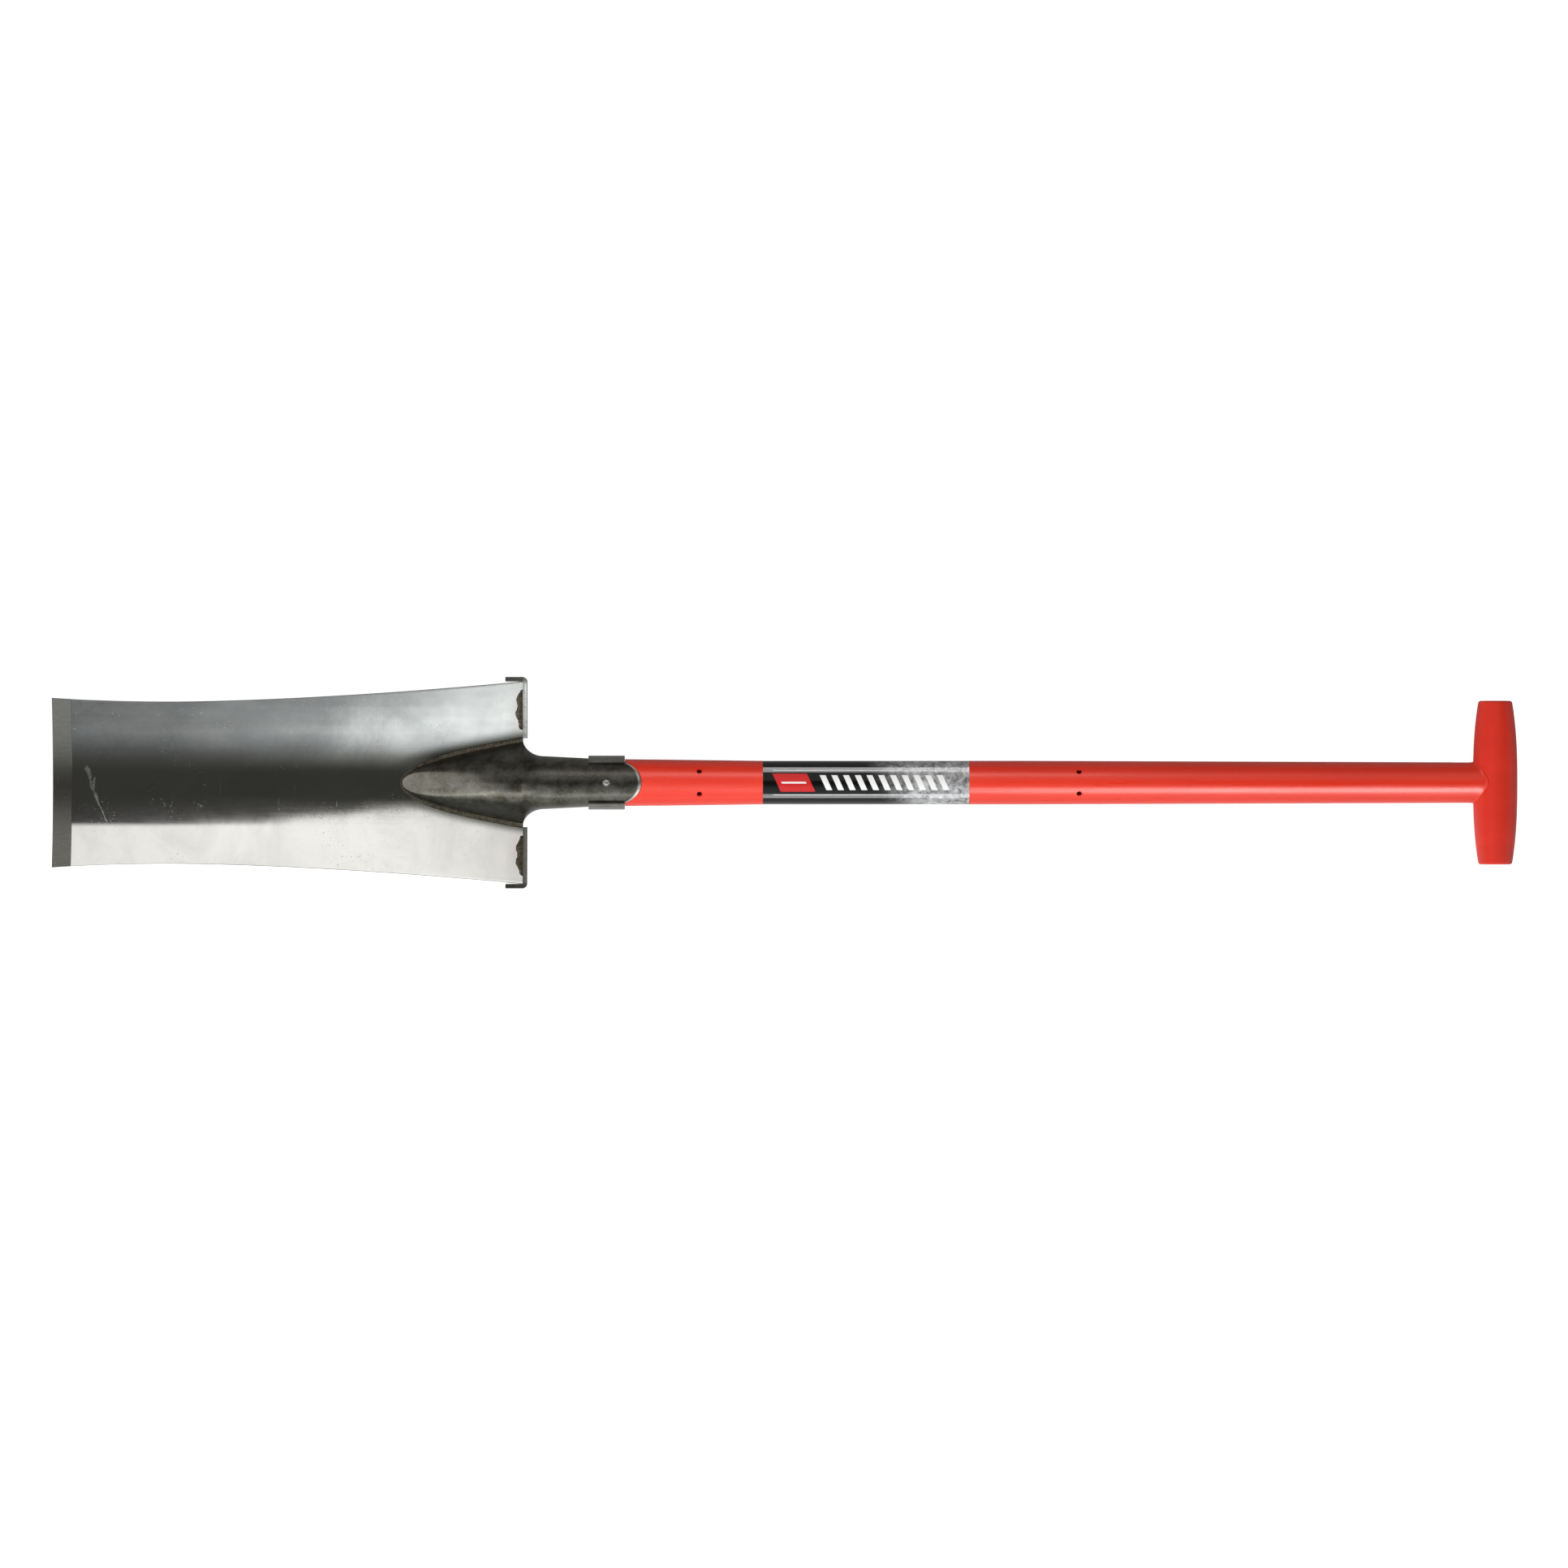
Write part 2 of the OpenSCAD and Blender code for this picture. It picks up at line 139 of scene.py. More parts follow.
def turnedOut(points, quads):
    # the quads, turned round if the closed surface's volume comes out negative
    a, b, c, d = (points[quads[:, k]] for k in range(4))
    volume = (a * np.cross(b, c)).sum() + (a * np.cross(c, d)).sum()
    return quads if volume > 0 else quads[:, ::-1]


def addObject(name, data):
    # a new object in the scene
    holder = bpy.data.objects.new(name, data)
    scene.collection.objects.link(holder)
    return holder


def addPiece(name, node, material, shells, marks=None, sharpAngle=34):
    # one mesh from grids of rings; marks are values of each point that the material reads by name
    points, quads, count = [], [], 0
    for shell in shells:
        flat = layDown(shell).reshape(-1, 3)
        quads.append(turnedOut(flat, gridFaces(*shell.shape[:2])) + count)
        points.append(flat)
        count += len(flat)
    points, quads = join(points), join(quads)
    mesh = bpy.data.meshes.new(name)
    mesh.from_pydata(points.tolist(), [], quads.tolist(), shade_flat=False)
    mesh.validate()
    for mark, values in (marks or {}).items():
        layer = mesh.attributes.new(mark, "FLOAT", "POINT")
        layer.data.foreach_set("value", np.asarray(values, np.float32).ravel())
    mesh.set_sharp_from_angle(angle=math.radians(sharpAngle))
    mesh.materials.append(material)
    piece = addObject(name, mesh)
    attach(piece, "root")
    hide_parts(node)


def frontZ(y):
    # height of the blade's hollow face at a distance from the middle
    return backRadius - np.sqrt(spade["dishRadius"] ** 2 - y * y)


def backZ(y):
    # height of the blade's back at a distance from the middle
    return backRadius - np.sqrt(backRadius ** 2 - y * y)


def roundedStrip(wide, tall, rounding, steps=5):
    # ring of a rectangle with rounded corners, up one side and down the other
    turn = np.linspace(0, np.pi / 2, steps)
    low = np.stack([rounding * (1 - np.sin(turn)), rounding * (1 - np.cos(turn))], -1)
    high = np.stack([rounding * (1 - np.cos(turn)), tall - rounding * (1 - np.sin(turn))], -1)
    side = join([low, high])
    return join([side, (side * [-1, 1] + [wide, 0])[::-1]])


def startMaterial(name):
    # a new material, with its nodes and its main shader
    material = bpy.data.materials.new(name)
    material.use_nodes = True
    return material, material.node_tree, material.node_tree.nodes["Principled BSDF"]


def setInputs(node, inputs):
    # each input, by name or number, gets a value or a link
    for key, value in inputs.items():
        if isinstance(value, bpy.types.NodeSocket):
            node.id_data.links.new(value, node.inputs[key])
        else:
            node.inputs[key].default_value = value


def put(tree, kind, inputs=None, **settings):
    # a new node with its settings and its inputs
    node = tree.nodes.new(kind)
    for key, value in settings.items():
        setattr(node, key, value)
    setInputs(node, inputs or {})
    return node


def sums(operation, *values):
    # one step of arithmetic, in the tree of the first value that is a socket
    tree = next(value.id_data for value in values if isinstance(value, bpy.types.NodeSocket))
    return put(tree, "ShaderNodeMath", dict(enumerate(values)), operation=operation).outputs[0]


minus = partial(sums, "SUBTRACT")
timesPlus = partial(sums, "MULTIPLY_ADD")
distance = partial(sums, "ABSOLUTE")
larger = partial(sums, "MAXIMUM")


def total(*values):
    # all the values added up
    return reduce(partial(sums, "ADD"), values)


def product(*values):
    # all the values multiplied together
    return reduce(partial(sums, "MULTIPLY"), values)


def blend(share, first, second):
    # the first colour at share 0, the second at share 1
    return put(share.id_data, "ShaderNodeMix", {0: share, 6: first, 7: second}, data_type="RGBA").outputs[2]


def remap(value, low, high, toLow=0.0, toHigh=1.0, smooth=False):
    # from toLow to toHigh as the value goes from low to high, and level beyond
    kind = "SMOOTHSTEP" if smooth else "LINEAR"
    inputs = {"Value": value, "From Min": low, "From Max": high, "To Min": toLow, "To Max": toHigh}
    return put(value.id_data, "ShaderNodeMapRange", inputs, interpolation_type=kind).outputs[0]


def band(value, low, high, soft):
    # 1 between two limits, falling smoothly to 0 across each
    rise = remap(value, low - soft, low + soft, smooth=True)
    return product(rise, remap(value, high - soft, high + soft, 1, 0, True))


def objectPlace(tree, scale=(1, 1, 1), turn=(0, 0, 0), move=(0, 0, 0)):
    # Object coordinates in millimetres, scaled, turned and moved
    here = put(tree, "ShaderNodeTexCoord").outputs["Object"]
    big = put(tree, "ShaderNodeVectorMath", {0: here, "Scale": 1000.0}, operation="SCALE").outputs[0]
    inputs = {"Vector": big, "Location": move, "Rotation": turn, "Scale": scale}
    return put(tree, "ShaderNodeMapping", inputs).outputs[0]


def cloud(place, size, detail=4.0, rough=0.55, warp=0.0):
    # noise whose blobs are about this many millimetres across
    inputs = {"Vector": place, "Scale": 1.0 / size, "Detail": detail, "Roughness": rough, "Distortion": warp}
    return put(place.id_data, "ShaderNodeTexNoise", inputs).outputs["Fac"]


def bumpUp(shader, layers):
    # bumps stacked on the normal, each a height, a depth in millimetres and a strength
    above = shader
    for height, depth, strength in reversed(layers):
        inputs = {"Height": height, "Distance": depth / 1000, "Strength": strength}
        bump = put(shader.id_data, "ShaderNodeBump", inputs)
        setInputs(above, {"Normal": bump.outputs[0]})
        above = bump


def readMark(tree, mark):
    # the value that points carry under this name
    return put(tree, "ShaderNodeAttribute", attribute_name=mark).outputs["Fac"]


blade = dict(
    edgeWidth=138.0,
    waistWidth=132.0,
    waistDistance=98.0,
    edgePower=2.1,  # how the sides swell from the waist to the cutting edge
    shoulderPower=1.62,  # and to the shoulders
    bevelLength=15.5,
    edgeThickness=0.7,
    sideRound=0.45,
    waveHeight=0.008,  # unevenness left by rolling and polishing
    waves=((0.052, 0.03), (0.018, 0.041), (0.108, -0.066)),  # radians a millimetre along and across
    waveStart=(0.0, 60.0),
    steel=(0.75, 0.745, 0.73, 1),
    dull=(0.67, 0.67, 0.66, 1),
    stain=(0.50, 0.45, 0.39, 1),
    stainAlong=(20.0, 70.0),  # where it fades, from the cutting edge
    stainAcross=(5.0, 25.0),
    ground=(0.50, 0.485, 0.455, 1),
    groundLines=(0.36, 0.35, 0.325, 1),
    scuffed=(0.62, 0.62, 0.61, 1),
    paintedLeafShade=(0.07, 0.068, 0.055, 1),  # painted shade and reflection of the leaf, darkening the blade beside it
    shadeAbove=(11.5, 3.0),  # where it ends and is full, from the leaf
    shadeBelow=(9.5, 3.0),
    shadeTip=(8.0, 24.0),  # where it starts and is full, from the middle
    shadeShare=0.9,
    smudge=(0.47, 0.475, 0.48, 1),
    smudgeAcross=(14.0, 32.0),
    heated=(0.46, 0.41, 0.36, 1),  # tint left by welding at the shoulders
    heatReach=(17.0, 1.0),
    heatMiddle=58.0,
    heatSpread=(30.0, -10.0),
    heatShare=0.75,
    scuffStart=(-568.0, 13.4),  # the scuff's upper end
    scuffLength=45.0,
    scuffThins=(16.0, 30.0),
    scuffWidths=(2.6, 0.9),
    scuffLean=0.20,
    scuffBend=0.0038,
    branchOff=7.6,  # a short second mark beside it
    branchLean=-0.15,
    branchSpan=(9.0, 19.0),
    scuffSoft=2.0,
    nickShare=0.85,
    groundRough=0.18,  # what grinding and wear add to the roughness
    wearRough=0.32,
)


def makeBladeSteel():
    # polished steel with clouds and smudges, fine scratches, flecks, one scuff, a darker ground bevel and
    # painted shade beside the leaf
    material, tree, shader = startMaterial("polishedBlade")
    place = objectPlace(tree)
    x, y = put(tree, "ShaderNodeSeparateXYZ", {0: place}).outputs[:2]
    patches = remap(cloud(place, 46, 5, 0.6, 0.6), 0.38, 0.68, smooth=True)
    fine = cloud(objectPlace(tree, (0.02, 1.3, 1), (0, 0, 0.05)), 1, 3, 0.6)
    nicks = remap(cloud(objectPlace(tree, (1.2, 0.03, 1), (0, 0, 0.5)), 1, 2, 0.5), 0.71, 0.76)
    nicks = product(nicks, remap(cloud(place, 34, 2), 0.5, 0.64))
    flecks = remap(cloud(place, 1.3, 1, 0.4), 0.68, 0.74)
    flecks = product(flecks, remap(cloud(place, 27, 2), 0.50, 0.66, 0, 0.8))
    # the scuff is near a parabola that leans as it goes across, the branch near a straight line
    startX, startY = blade["scuffStart"]
    down, out = minus(startY, y), minus(x, startX)
    curve = timesPlus(down, blade["scuffBend"], blade["scuffLean"])
    wander = remap(cloud(place, 9, 3), 0.3, 0.7, -0.9, 0.9)
    off = distance(total(minus(out, product(curve, down)), wander))
    wide = product(remap(cloud(place, 8, 3, 0.6), 0.35, 0.7, 0.35, 1.4),
                   band(down, 0, blade["scuffLength"], blade["scuffSoft"]),
                   remap(down, *blade["scuffThins"], *blade["scuffWidths"]))
    scuff = remap(minus(wide, off), -0.2, 0.9)
    aside = timesPlus(down, -blade["branchLean"], minus(out, blade["branchOff"]))
    aside = distance(total(aside, wander))
    wide = product(wide, band(down, *blade["branchSpan"], blade["scuffSoft"]))
    scuff = larger(scuff, remap(minus(wide, aside), 0, 0.4))
    scuff = product(scuff, remap(cloud(place, 0.9, 2), 0.3, 0.6, 0.35, 0.85))
    wear = larger(product(larger(nicks, flecks), blade["nickShare"]), scuff)
    near, far = (edgeX + reach for reach in blade["stainAlong"])
    stain = product(remap(cloud(place, 13, 6, 0.7, 1.0), 0.5, 0.68, 0, 0.6),
                    remap(x, near, far, 1, 0, True), remap(y, *blade["stainAcross"]))
    smudge = remap(cloud(objectPlace(tree, (0.7, 1.3, 1), (0, 0, 0.3)), 30, 2, 0.5), 0.38, 0.66)
    smudge = product(smudge, remap(y, *blade["smudgeAcross"], 0, 0.5, True))
    ground = readMark(tree, "ground")
    lines = cloud(objectPlace(tree, (0.05, 2.2, 1)), 1, 3, 0.7)
    groundShade = blend(remap(lines, 0.3, 0.7), blade["ground"], blade["groundLines"])
    colour = blend(patches, blade["steel"], blade["dull"])
    # the blade beside the leaf gets painted shade, standing in for the leaf's shadow and reflection
    for share, over in (
            (smudge, blade["smudge"]), (stain, blade["stain"]), (ground, groundShade),
            (readMark(tree, "heated"), blade["heated"]), (readMark(tree, "paintedLeafShade"), blade["paintedLeafShade"]),
            (wear, blade["scuffed"])):
        colour = blend(share, colour, over)
    rough = total(remap(patches, 0, 1, 0.05, 0.07), remap(fine, 0.3, 0.7, -0.005, 0.01))
    rough = timesPlus(ground, blade["groundRough"], rough)
    rough = timesPlus(wear, blade["wearRough"], rough)
    setInputs(shader, {"Base Color": colour, "Roughness": rough, "Metallic": 1.0})
    swells = [(cloud(place, 30, 2), 0.03, 0.3), (cloud(place, 11, 4, 0.6), 0.02, 0.3)]
    bumpUp(shader, swells + [(fine, 0.01, 0.10), (lines, 0.01, 0.10)])
    return material


def bladeHalf(s):
    # half width at a distance from the cutting edge, swelling from the waist by powers
    waist = blade["waistDistance"]
    low = np.clip(1 - s / waist, 0, 1) ** blade["edgePower"]
    high = np.clip((s - waist) / (spade["bladeLength"] - waist), 0, 1) ** blade["shoulderPower"]
    toEdge = (blade["edgeWidth"] - blade["waistWidth"]) / 2
    toShoulder = (spade["shoulderWidth"] - blade["waistWidth"]) / 2
    return blade["waistWidth"] / 2 + toEdge * low + toShoulder * high


def makeBlade():
    # rows from the cutting edge to the shoulders, rings over the front face and back along the other: both
    # are arcs about one axis, with round sides, and the bevel thins the sheet
    bevel = blade["bevelLength"]
    s = join([
        np.linspace(0, bevel - 0.5, 12),
        bevel + np.array([-0.12, 0.12]),
        np.linspace(bevel + 0.6, spade["bladeLength"], 170),
    ])[:, None]
    half = bladeHalf(s)
    thick = np.interp(s, [0, bevel], [blade["edgeThickness"], spade["bladeThickness"]])
    rounding = np.minimum(blade["sideRound"], 0.4 * thick)
    turn = np.linspace(0, np.pi / 2, 5)
    inner = np.linspace(-1, 1, 93)[1:-1]
    inset, drop = rounding * (1 - np.cos(turn)), rounding * (1 - np.sin(turn))
    y = join([inset - half, inner * (half - rounding), (half - inset)[:, ::-1]], 1)
    drop = join([drop, 0 * half * inner, drop[:, ::-1]], 1)
    x = edgeX + s + 0 * y
    (longX, longY), (slantX, slantY), (shortX, shortY) = blade["waves"]
    wave = np.sin(longX * x + 0.8 * np.sin(longY * y)) * np.cos(slantX * x + slantY * y)
    wave = wave + 0.45 * np.sin(shortX * x + shortY * y)
    wave = blade["waveHeight"] * wave * ease(*blade["waveStart"], s)
    front = backRadius - np.sqrt((backRadius - thick) ** 2 - y * y) - drop + wave
    back = backZ(y) + drop + wave
    shell = join([surface(x, y, front), surface(x, y, back)[:, ::-1]], 1)
    # painted shade beside the leaf: darkest at the leaf's edge and fading out over the blade, a little
    # weaker below
    across = 2 * spade["leafLength"] / (spade["leafWidth"] / 2) ** 2 * y
    fromLeaf = (across * y / 2 - x + tipX) / np.hypot(1, across)
    above, below = (ease(*blade[side], fromLeaf) for side in ("shadeAbove", "shadeBelow"))
    paintedLeafShade = np.where(y > 0, above, blade["shadeShare"] * below) * ease(*blade["shadeTip"], abs(y))
    fromHeat = abs(abs(y) - blade["heatMiddle"])
    heated = ease(*blade["heatReach"], shoulderX - x) * ease(*blade["heatSpread"], fromHeat)
    marks = {"ground": (s < bevel) + 0 * y, "paintedLeafShade": paintedLeafShade, "heated": blade["heatShare"] * heated}
    marks = {mark: join([front, 0 * y], 1) for mark, front in marks.items()}
    addPiece("bladePiece", "blade", makeBladeSteel(), [shell], marks, 30)


makeBlade()
print("blade made")


def makeLacquer(name, dark, light, bare, roughness):
    # dark lacquer over mill scale: mottled, a little uneven, with bare steel where marked
    material, tree, shader = startMaterial(name)
    place = objectPlace(tree)
    mottle = remap(cloud(place, 11, 6, 0.65, 0.4), 0.32, 0.7)
    specks = remap(cloud(place, 1.6, 3, 0.6), 0.5, 0.72)
    share = timesPlus(specks, 0.25, product(mottle, 0.75))
    colour = blend(share, dark, light)
    worn = product(readMark(tree, "bare"), remap(cloud(place, 3, 4), 0.25, 0.5, 0.45, 1))
    rough = remap(mottle, 0, 1, roughness - 0.05, roughness + 0.07)
    setInputs(shader, {
        "Base Color": blend(worn, colour, bare),
        "Roughness": timesPlus(worn, -0.08, rough),
        "Metallic": 0.9, "Coat Weight": 0.25, "Coat Roughness": 0.22})
    bumpUp(shader, [(cloud(place, 14, 2), 0.35, 0.3), (cloud(place, 1.3, 3), 0.05, 0.35)])
    return material


tread = dict(
    inner=36.2,
    tab=17.5,
    stand=6.0,  # height over the blade's face
    edgeRound=0.55,
    bendGap=0.25,
    lacquer=(0.075, 0.072, 0.06, 1),
    light=(0.15, 0.145, 0.13, 1),
    worn=(0.72, 0.715, 0.68, 1),
    wornDepth=1.6,  # in rounded edges
    tabDark=0.85,  # share of the wear that the bent end lacks
    leftWear=1.0,
    rightWear=0.15,
)
treadLacquer = makeLacquer("lacqueredStrip", tread["lacquer"], tread["light"], tread["worn"], 0.38)


def makeTread(side, name, node, wear):
    # a strip carried along the shoulder, round its corner and along the side; its top follows the dish
    thick = spade["treadThickness"]
    outer = halfShoulder + spade["fit"]
    run = np.linspace(tread["inner"], outer, 40)
    turn = np.linspace(0, np.pi / 2, 13)[1:-1]
    back = np.linspace(shoulderX, shoulderX + thick - tread["tab"], 18)
    baseX = join([0 * run + shoulderX, 0 * turn + shoulderX, back])[:, None]
    baseY = join([run, 0 * turn + outer, 0 * back + outer])[:, None]
    facing = join([0 * run, turn, 0 * back + np.pi / 2])[:, None]
    bending = join([0 * run, 0 * turn + 1, 0 * back])[:, None]
    rounding = tread["edgeRound"]
    tall = 10.0  # height of the ring before its upper half is lifted to the strip's top
    ring = roundedStrip(thick, tall, rounding)
    wide, lift = ring.T
    wide = wide + bending * tread["bendGap"] * (1 - wide / thick)
    x = baseX + wide * np.cos(facing)
    y = baseY + wide * np.sin(facing)
    top = backRadius - np.sqrt((spade["dishRadius"] - tread["stand"]) ** 2 - y * y)
    top = np.minimum(top, frontZ(halfShoulder) + tread["stand"])
    z = np.where(lift > tall / 2, top - (tall - lift), lift)
    worn = wear * np.clip(1 - (top - z) / (tread["wornDepth"] * rounding), 0, 1)
    worn = worn * (1 - tread["tabDark"] * facing / (np.pi / 2))
    addPiece(name, node, treadLacquer, [surface(x, side * y, z)], {"bare": worn})


makeTread(1, "leftTreadPiece", "left_tread", tread["leftWear"])
makeTread(-1, "rightTreadPiece", "right_tread", tread["rightWear"])

weld = dict(
    reach=5.4,
    rise=4.6,
    power=1.38,  # hollowness of the fillet
    ripple=2.7,  # spacing of the ripples
    rippleShare=0.03,
    lumps=(0.16, 0.03),
    frontSpan=(0.15, 0.84),  # shares of the tread's length
    backSpan=(0.35, 0.92),
    endShare=0.25,
    leafWidth=3.4,
    leafEnds=0.35,  # height gained at the leaf bead's ends
    leafRipples=(0.06, 0.16),  # shares of its width and height
    air=0.06,  # under the leaf's bead
    brown=(0.046, 0.037, 0.022, 1),
    grey=(0.34, 0.29, 0.22, 1),
)


def makeWeldMetal():
    # weld metal under lacquer: brown, greyer in patches and on marked crests
    material, tree, shader = startMaterial("weldMetal")
    place = objectPlace(tree)
    share = remap(cloud(place, 3.2, 4, 0.65), 0.35, 0.66, 0, 0.4)
    share = timesPlus(readMark(tree, "crest"), 0.6, share)
    setInputs(shader, {
        "Base Color": blend(share, weld["brown"], weld["grey"]),
        "Roughness": remap(share, 0, 1, 0.5, 0.3),
        "Metallic": 0.85, "Coat Weight": 0.3, "Coat Roughness": 0.2})
    bumpUp(shader, [(cloud(place, 1.1, 3), 0.18, 0.5)])
    return material


weldMetal = makeWeldMetal()


def weldBead(side, face, phase):
    # a fillet between tread and blade that swells from its ends, with lumps and ripples
    length = halfShoulder - tread["inner"]
    low, high = weld["frontSpan"] if face > 0 else weld["backSpan"]
    large, small = weld["lumps"]
    t = np.linspace(0, 1, 90)[:, None]
    y = tread["inner"] + length * (low + (high - low) * t)
    swell = weld["endShare"] + (1 - weld["endShare"]) * np.sqrt(np.sin(np.pi * t))
    lump = 1 + large * np.sin(5 * np.pi * t + phase) + small * np.sin(17.3 * np.pi * t + 2 * phase)
    ripple = abs(np.sin(np.pi * y / weld["ripple"]))
    turn = np.linspace(0, np.pi / 2, 13)
    rough = swell * (1 + weld["rippleShare"] * ripple * np.sin(2 * turn))
    reach = weld["reach"] * rough * lump * np.cos(turn) ** weld["power"]
    rise = weld["rise"] * rough * np.sin(turn) ** weld["power"]
    base = frontZ(y) if face > 0 else backZ(y)
    corner = surface(shoulderX, side * y, base)
    shell = join([surface(shoulderX - reach, side * y, base + face * rise), corner], 1)
    crest = join([(0.4 + 0.15 * ripple) * np.cos(turn) ** 2, 0 * y], 1)
    return shell, crest


def makeTreadWeld(side, name, node, phase):
    # two beads, before and behind the blade
    beads = [weldBead(side, face, phase + face) for face in (1, -1)]
    crest = join([mark.ravel() for _, mark in beads])
    addPiece(name, node, weldMetal, [shell for shell, _ in beads], {"crest": crest}, 60)


makeTreadWeld(1, "leftTreadWeldPiece", "left_tread_weld", 0.7)
makeTreadWeld(-1, "rightTreadWeldPiece", "right_tread_weld", 2.3)


def makeLeafWeld():
    # a quarter-round bead carried along the leaf's parabola, with ripples and thicker ends
    share = np.linspace(-1, 1, 421)[:, None]
    half = spade["leafWidth"] / 2
    baseX, baseY = tipX + spade["leafLength"] * share ** 2, half * share
    alongX, alongY = 2 * spade["leafLength"] * share, half + 0 * share
    norm = np.hypot(alongX, alongY)
    steps = np.hypot(np.diff(baseX, axis=0), np.diff(baseY, axis=0))
    run = join([[[0.0]], np.cumsum(steps, 0)])
    ripple = abs(np.sin(np.pi * run / weld["ripple"]))
    ends = 1 + weld["leafEnds"] * ease(0.86, 1, abs(share))
    sideways, upwards = (1 + part * ripple for part in weld["leafRipples"])
    turn = np.linspace(0, np.pi / 2, 9)
    wide = weld["leafWidth"] * (0.5 + 0.5 * ease(0.1, 0.55, abs(share)))
    off = wide * np.sin(turn) * (1 + (sideways - 1) * np.sin(turn))
    x = np.minimum(baseX - alongY / norm * off, shoulderX)
    y = baseY + alongX / norm * off
    lift = (spade["leafLip"] - weld["air"]) * np.cos(turn) ** 0.8 * ends * upwards
    foot = surface(baseX, baseY, frontZ(baseY) + weld["air"])
    shell = join([surface(x, y, frontZ(y) + weld["air"] + lift), foot], 1)
    crest = 0.8 * np.cos(turn) ** 5 * (0.3 + 0.7 * ripple) * ease(0.3, 0.9, abs(share))
    crest = join([crest, 0 * share], 1)
    addPiece("leafWeldPiece", "leaf_weld", weldMetal, [shell], {"crest": crest}, 60)


makeLeafWeld()
print("treads and welds made")

socket = dict(
    ridgeBend=0.62,  # share of the leaf where its ridge starts to level
    ridgeLevel=1.05,
    crestHalf=14.0,  # half width of the flat crest
    crestRoom=0.9,
    crestPower=3.0,
    flankPower=1.25,
    creaseRound=9.0,
    creaseShare=0.45,
    flareOver=0.2,
    flareStart=0.75,
    flareEnd=2.1,
    tubeRadius=21.3,
    tongueLength=13.5,
    tongueWidth=33.0,
    tongueBevel=3.2,  # length of its ground end
    tongueDrop=0.5,
    rimRound=0.3,
    dark=(0.030, 0.026, 0.014, 1),
    light=(0.135, 0.132, 0.118, 1),
    bare=(0.66, 0.65, 0.61, 1),
)
socketLacquer = makeLacquer("lacqueredForging", socket["dark"], socket["light"], socket["bare"], 0.33)


def tongueEnd(y, front):
    # place along the shaft of the mouth's rim: a round tongue on the front, square elsewhere
    half = socket["tongueWidth"] / 2
    bend = (half ** 2 + socket["tongueLength"] ** 2) / (2 * socket["tongueLength"])
    reach = socket["tongueLength"] - bend + np.sqrt(np.maximum(bend ** 2 - y * y, 0))
    return mouthX + np.where(front & (abs(y) < half), np.maximum(reach, 0), 0)


def ridgeForm(t):
    # straight up, then bending towards level as a parabola does
    past = np.maximum(t - socket["ridgeBend"], 0)
    return t - past ** 2 / (2 * (socket["ridgeLevel"] - socket["ridgeBend"]))


def leafArch(y, half):
    # share of the ridge's height: 1 on the crest, which narrows near the tip, then less by a power
    power = socket["crestPower"]
    crest = socket["crestRoom"] * half / (1 + (half / socket["crestHalf"]) ** power) ** (1 / power)
    bend = np.minimum(socket["creaseRound"], socket["creaseShare"] * (half - crest))
    off, most = (value + np.sqrt(value ** 2 + bend ** 2) for value in (abs(y) - crest, half - crest))
    return 1 - (off / most) ** socket["flankPower"]


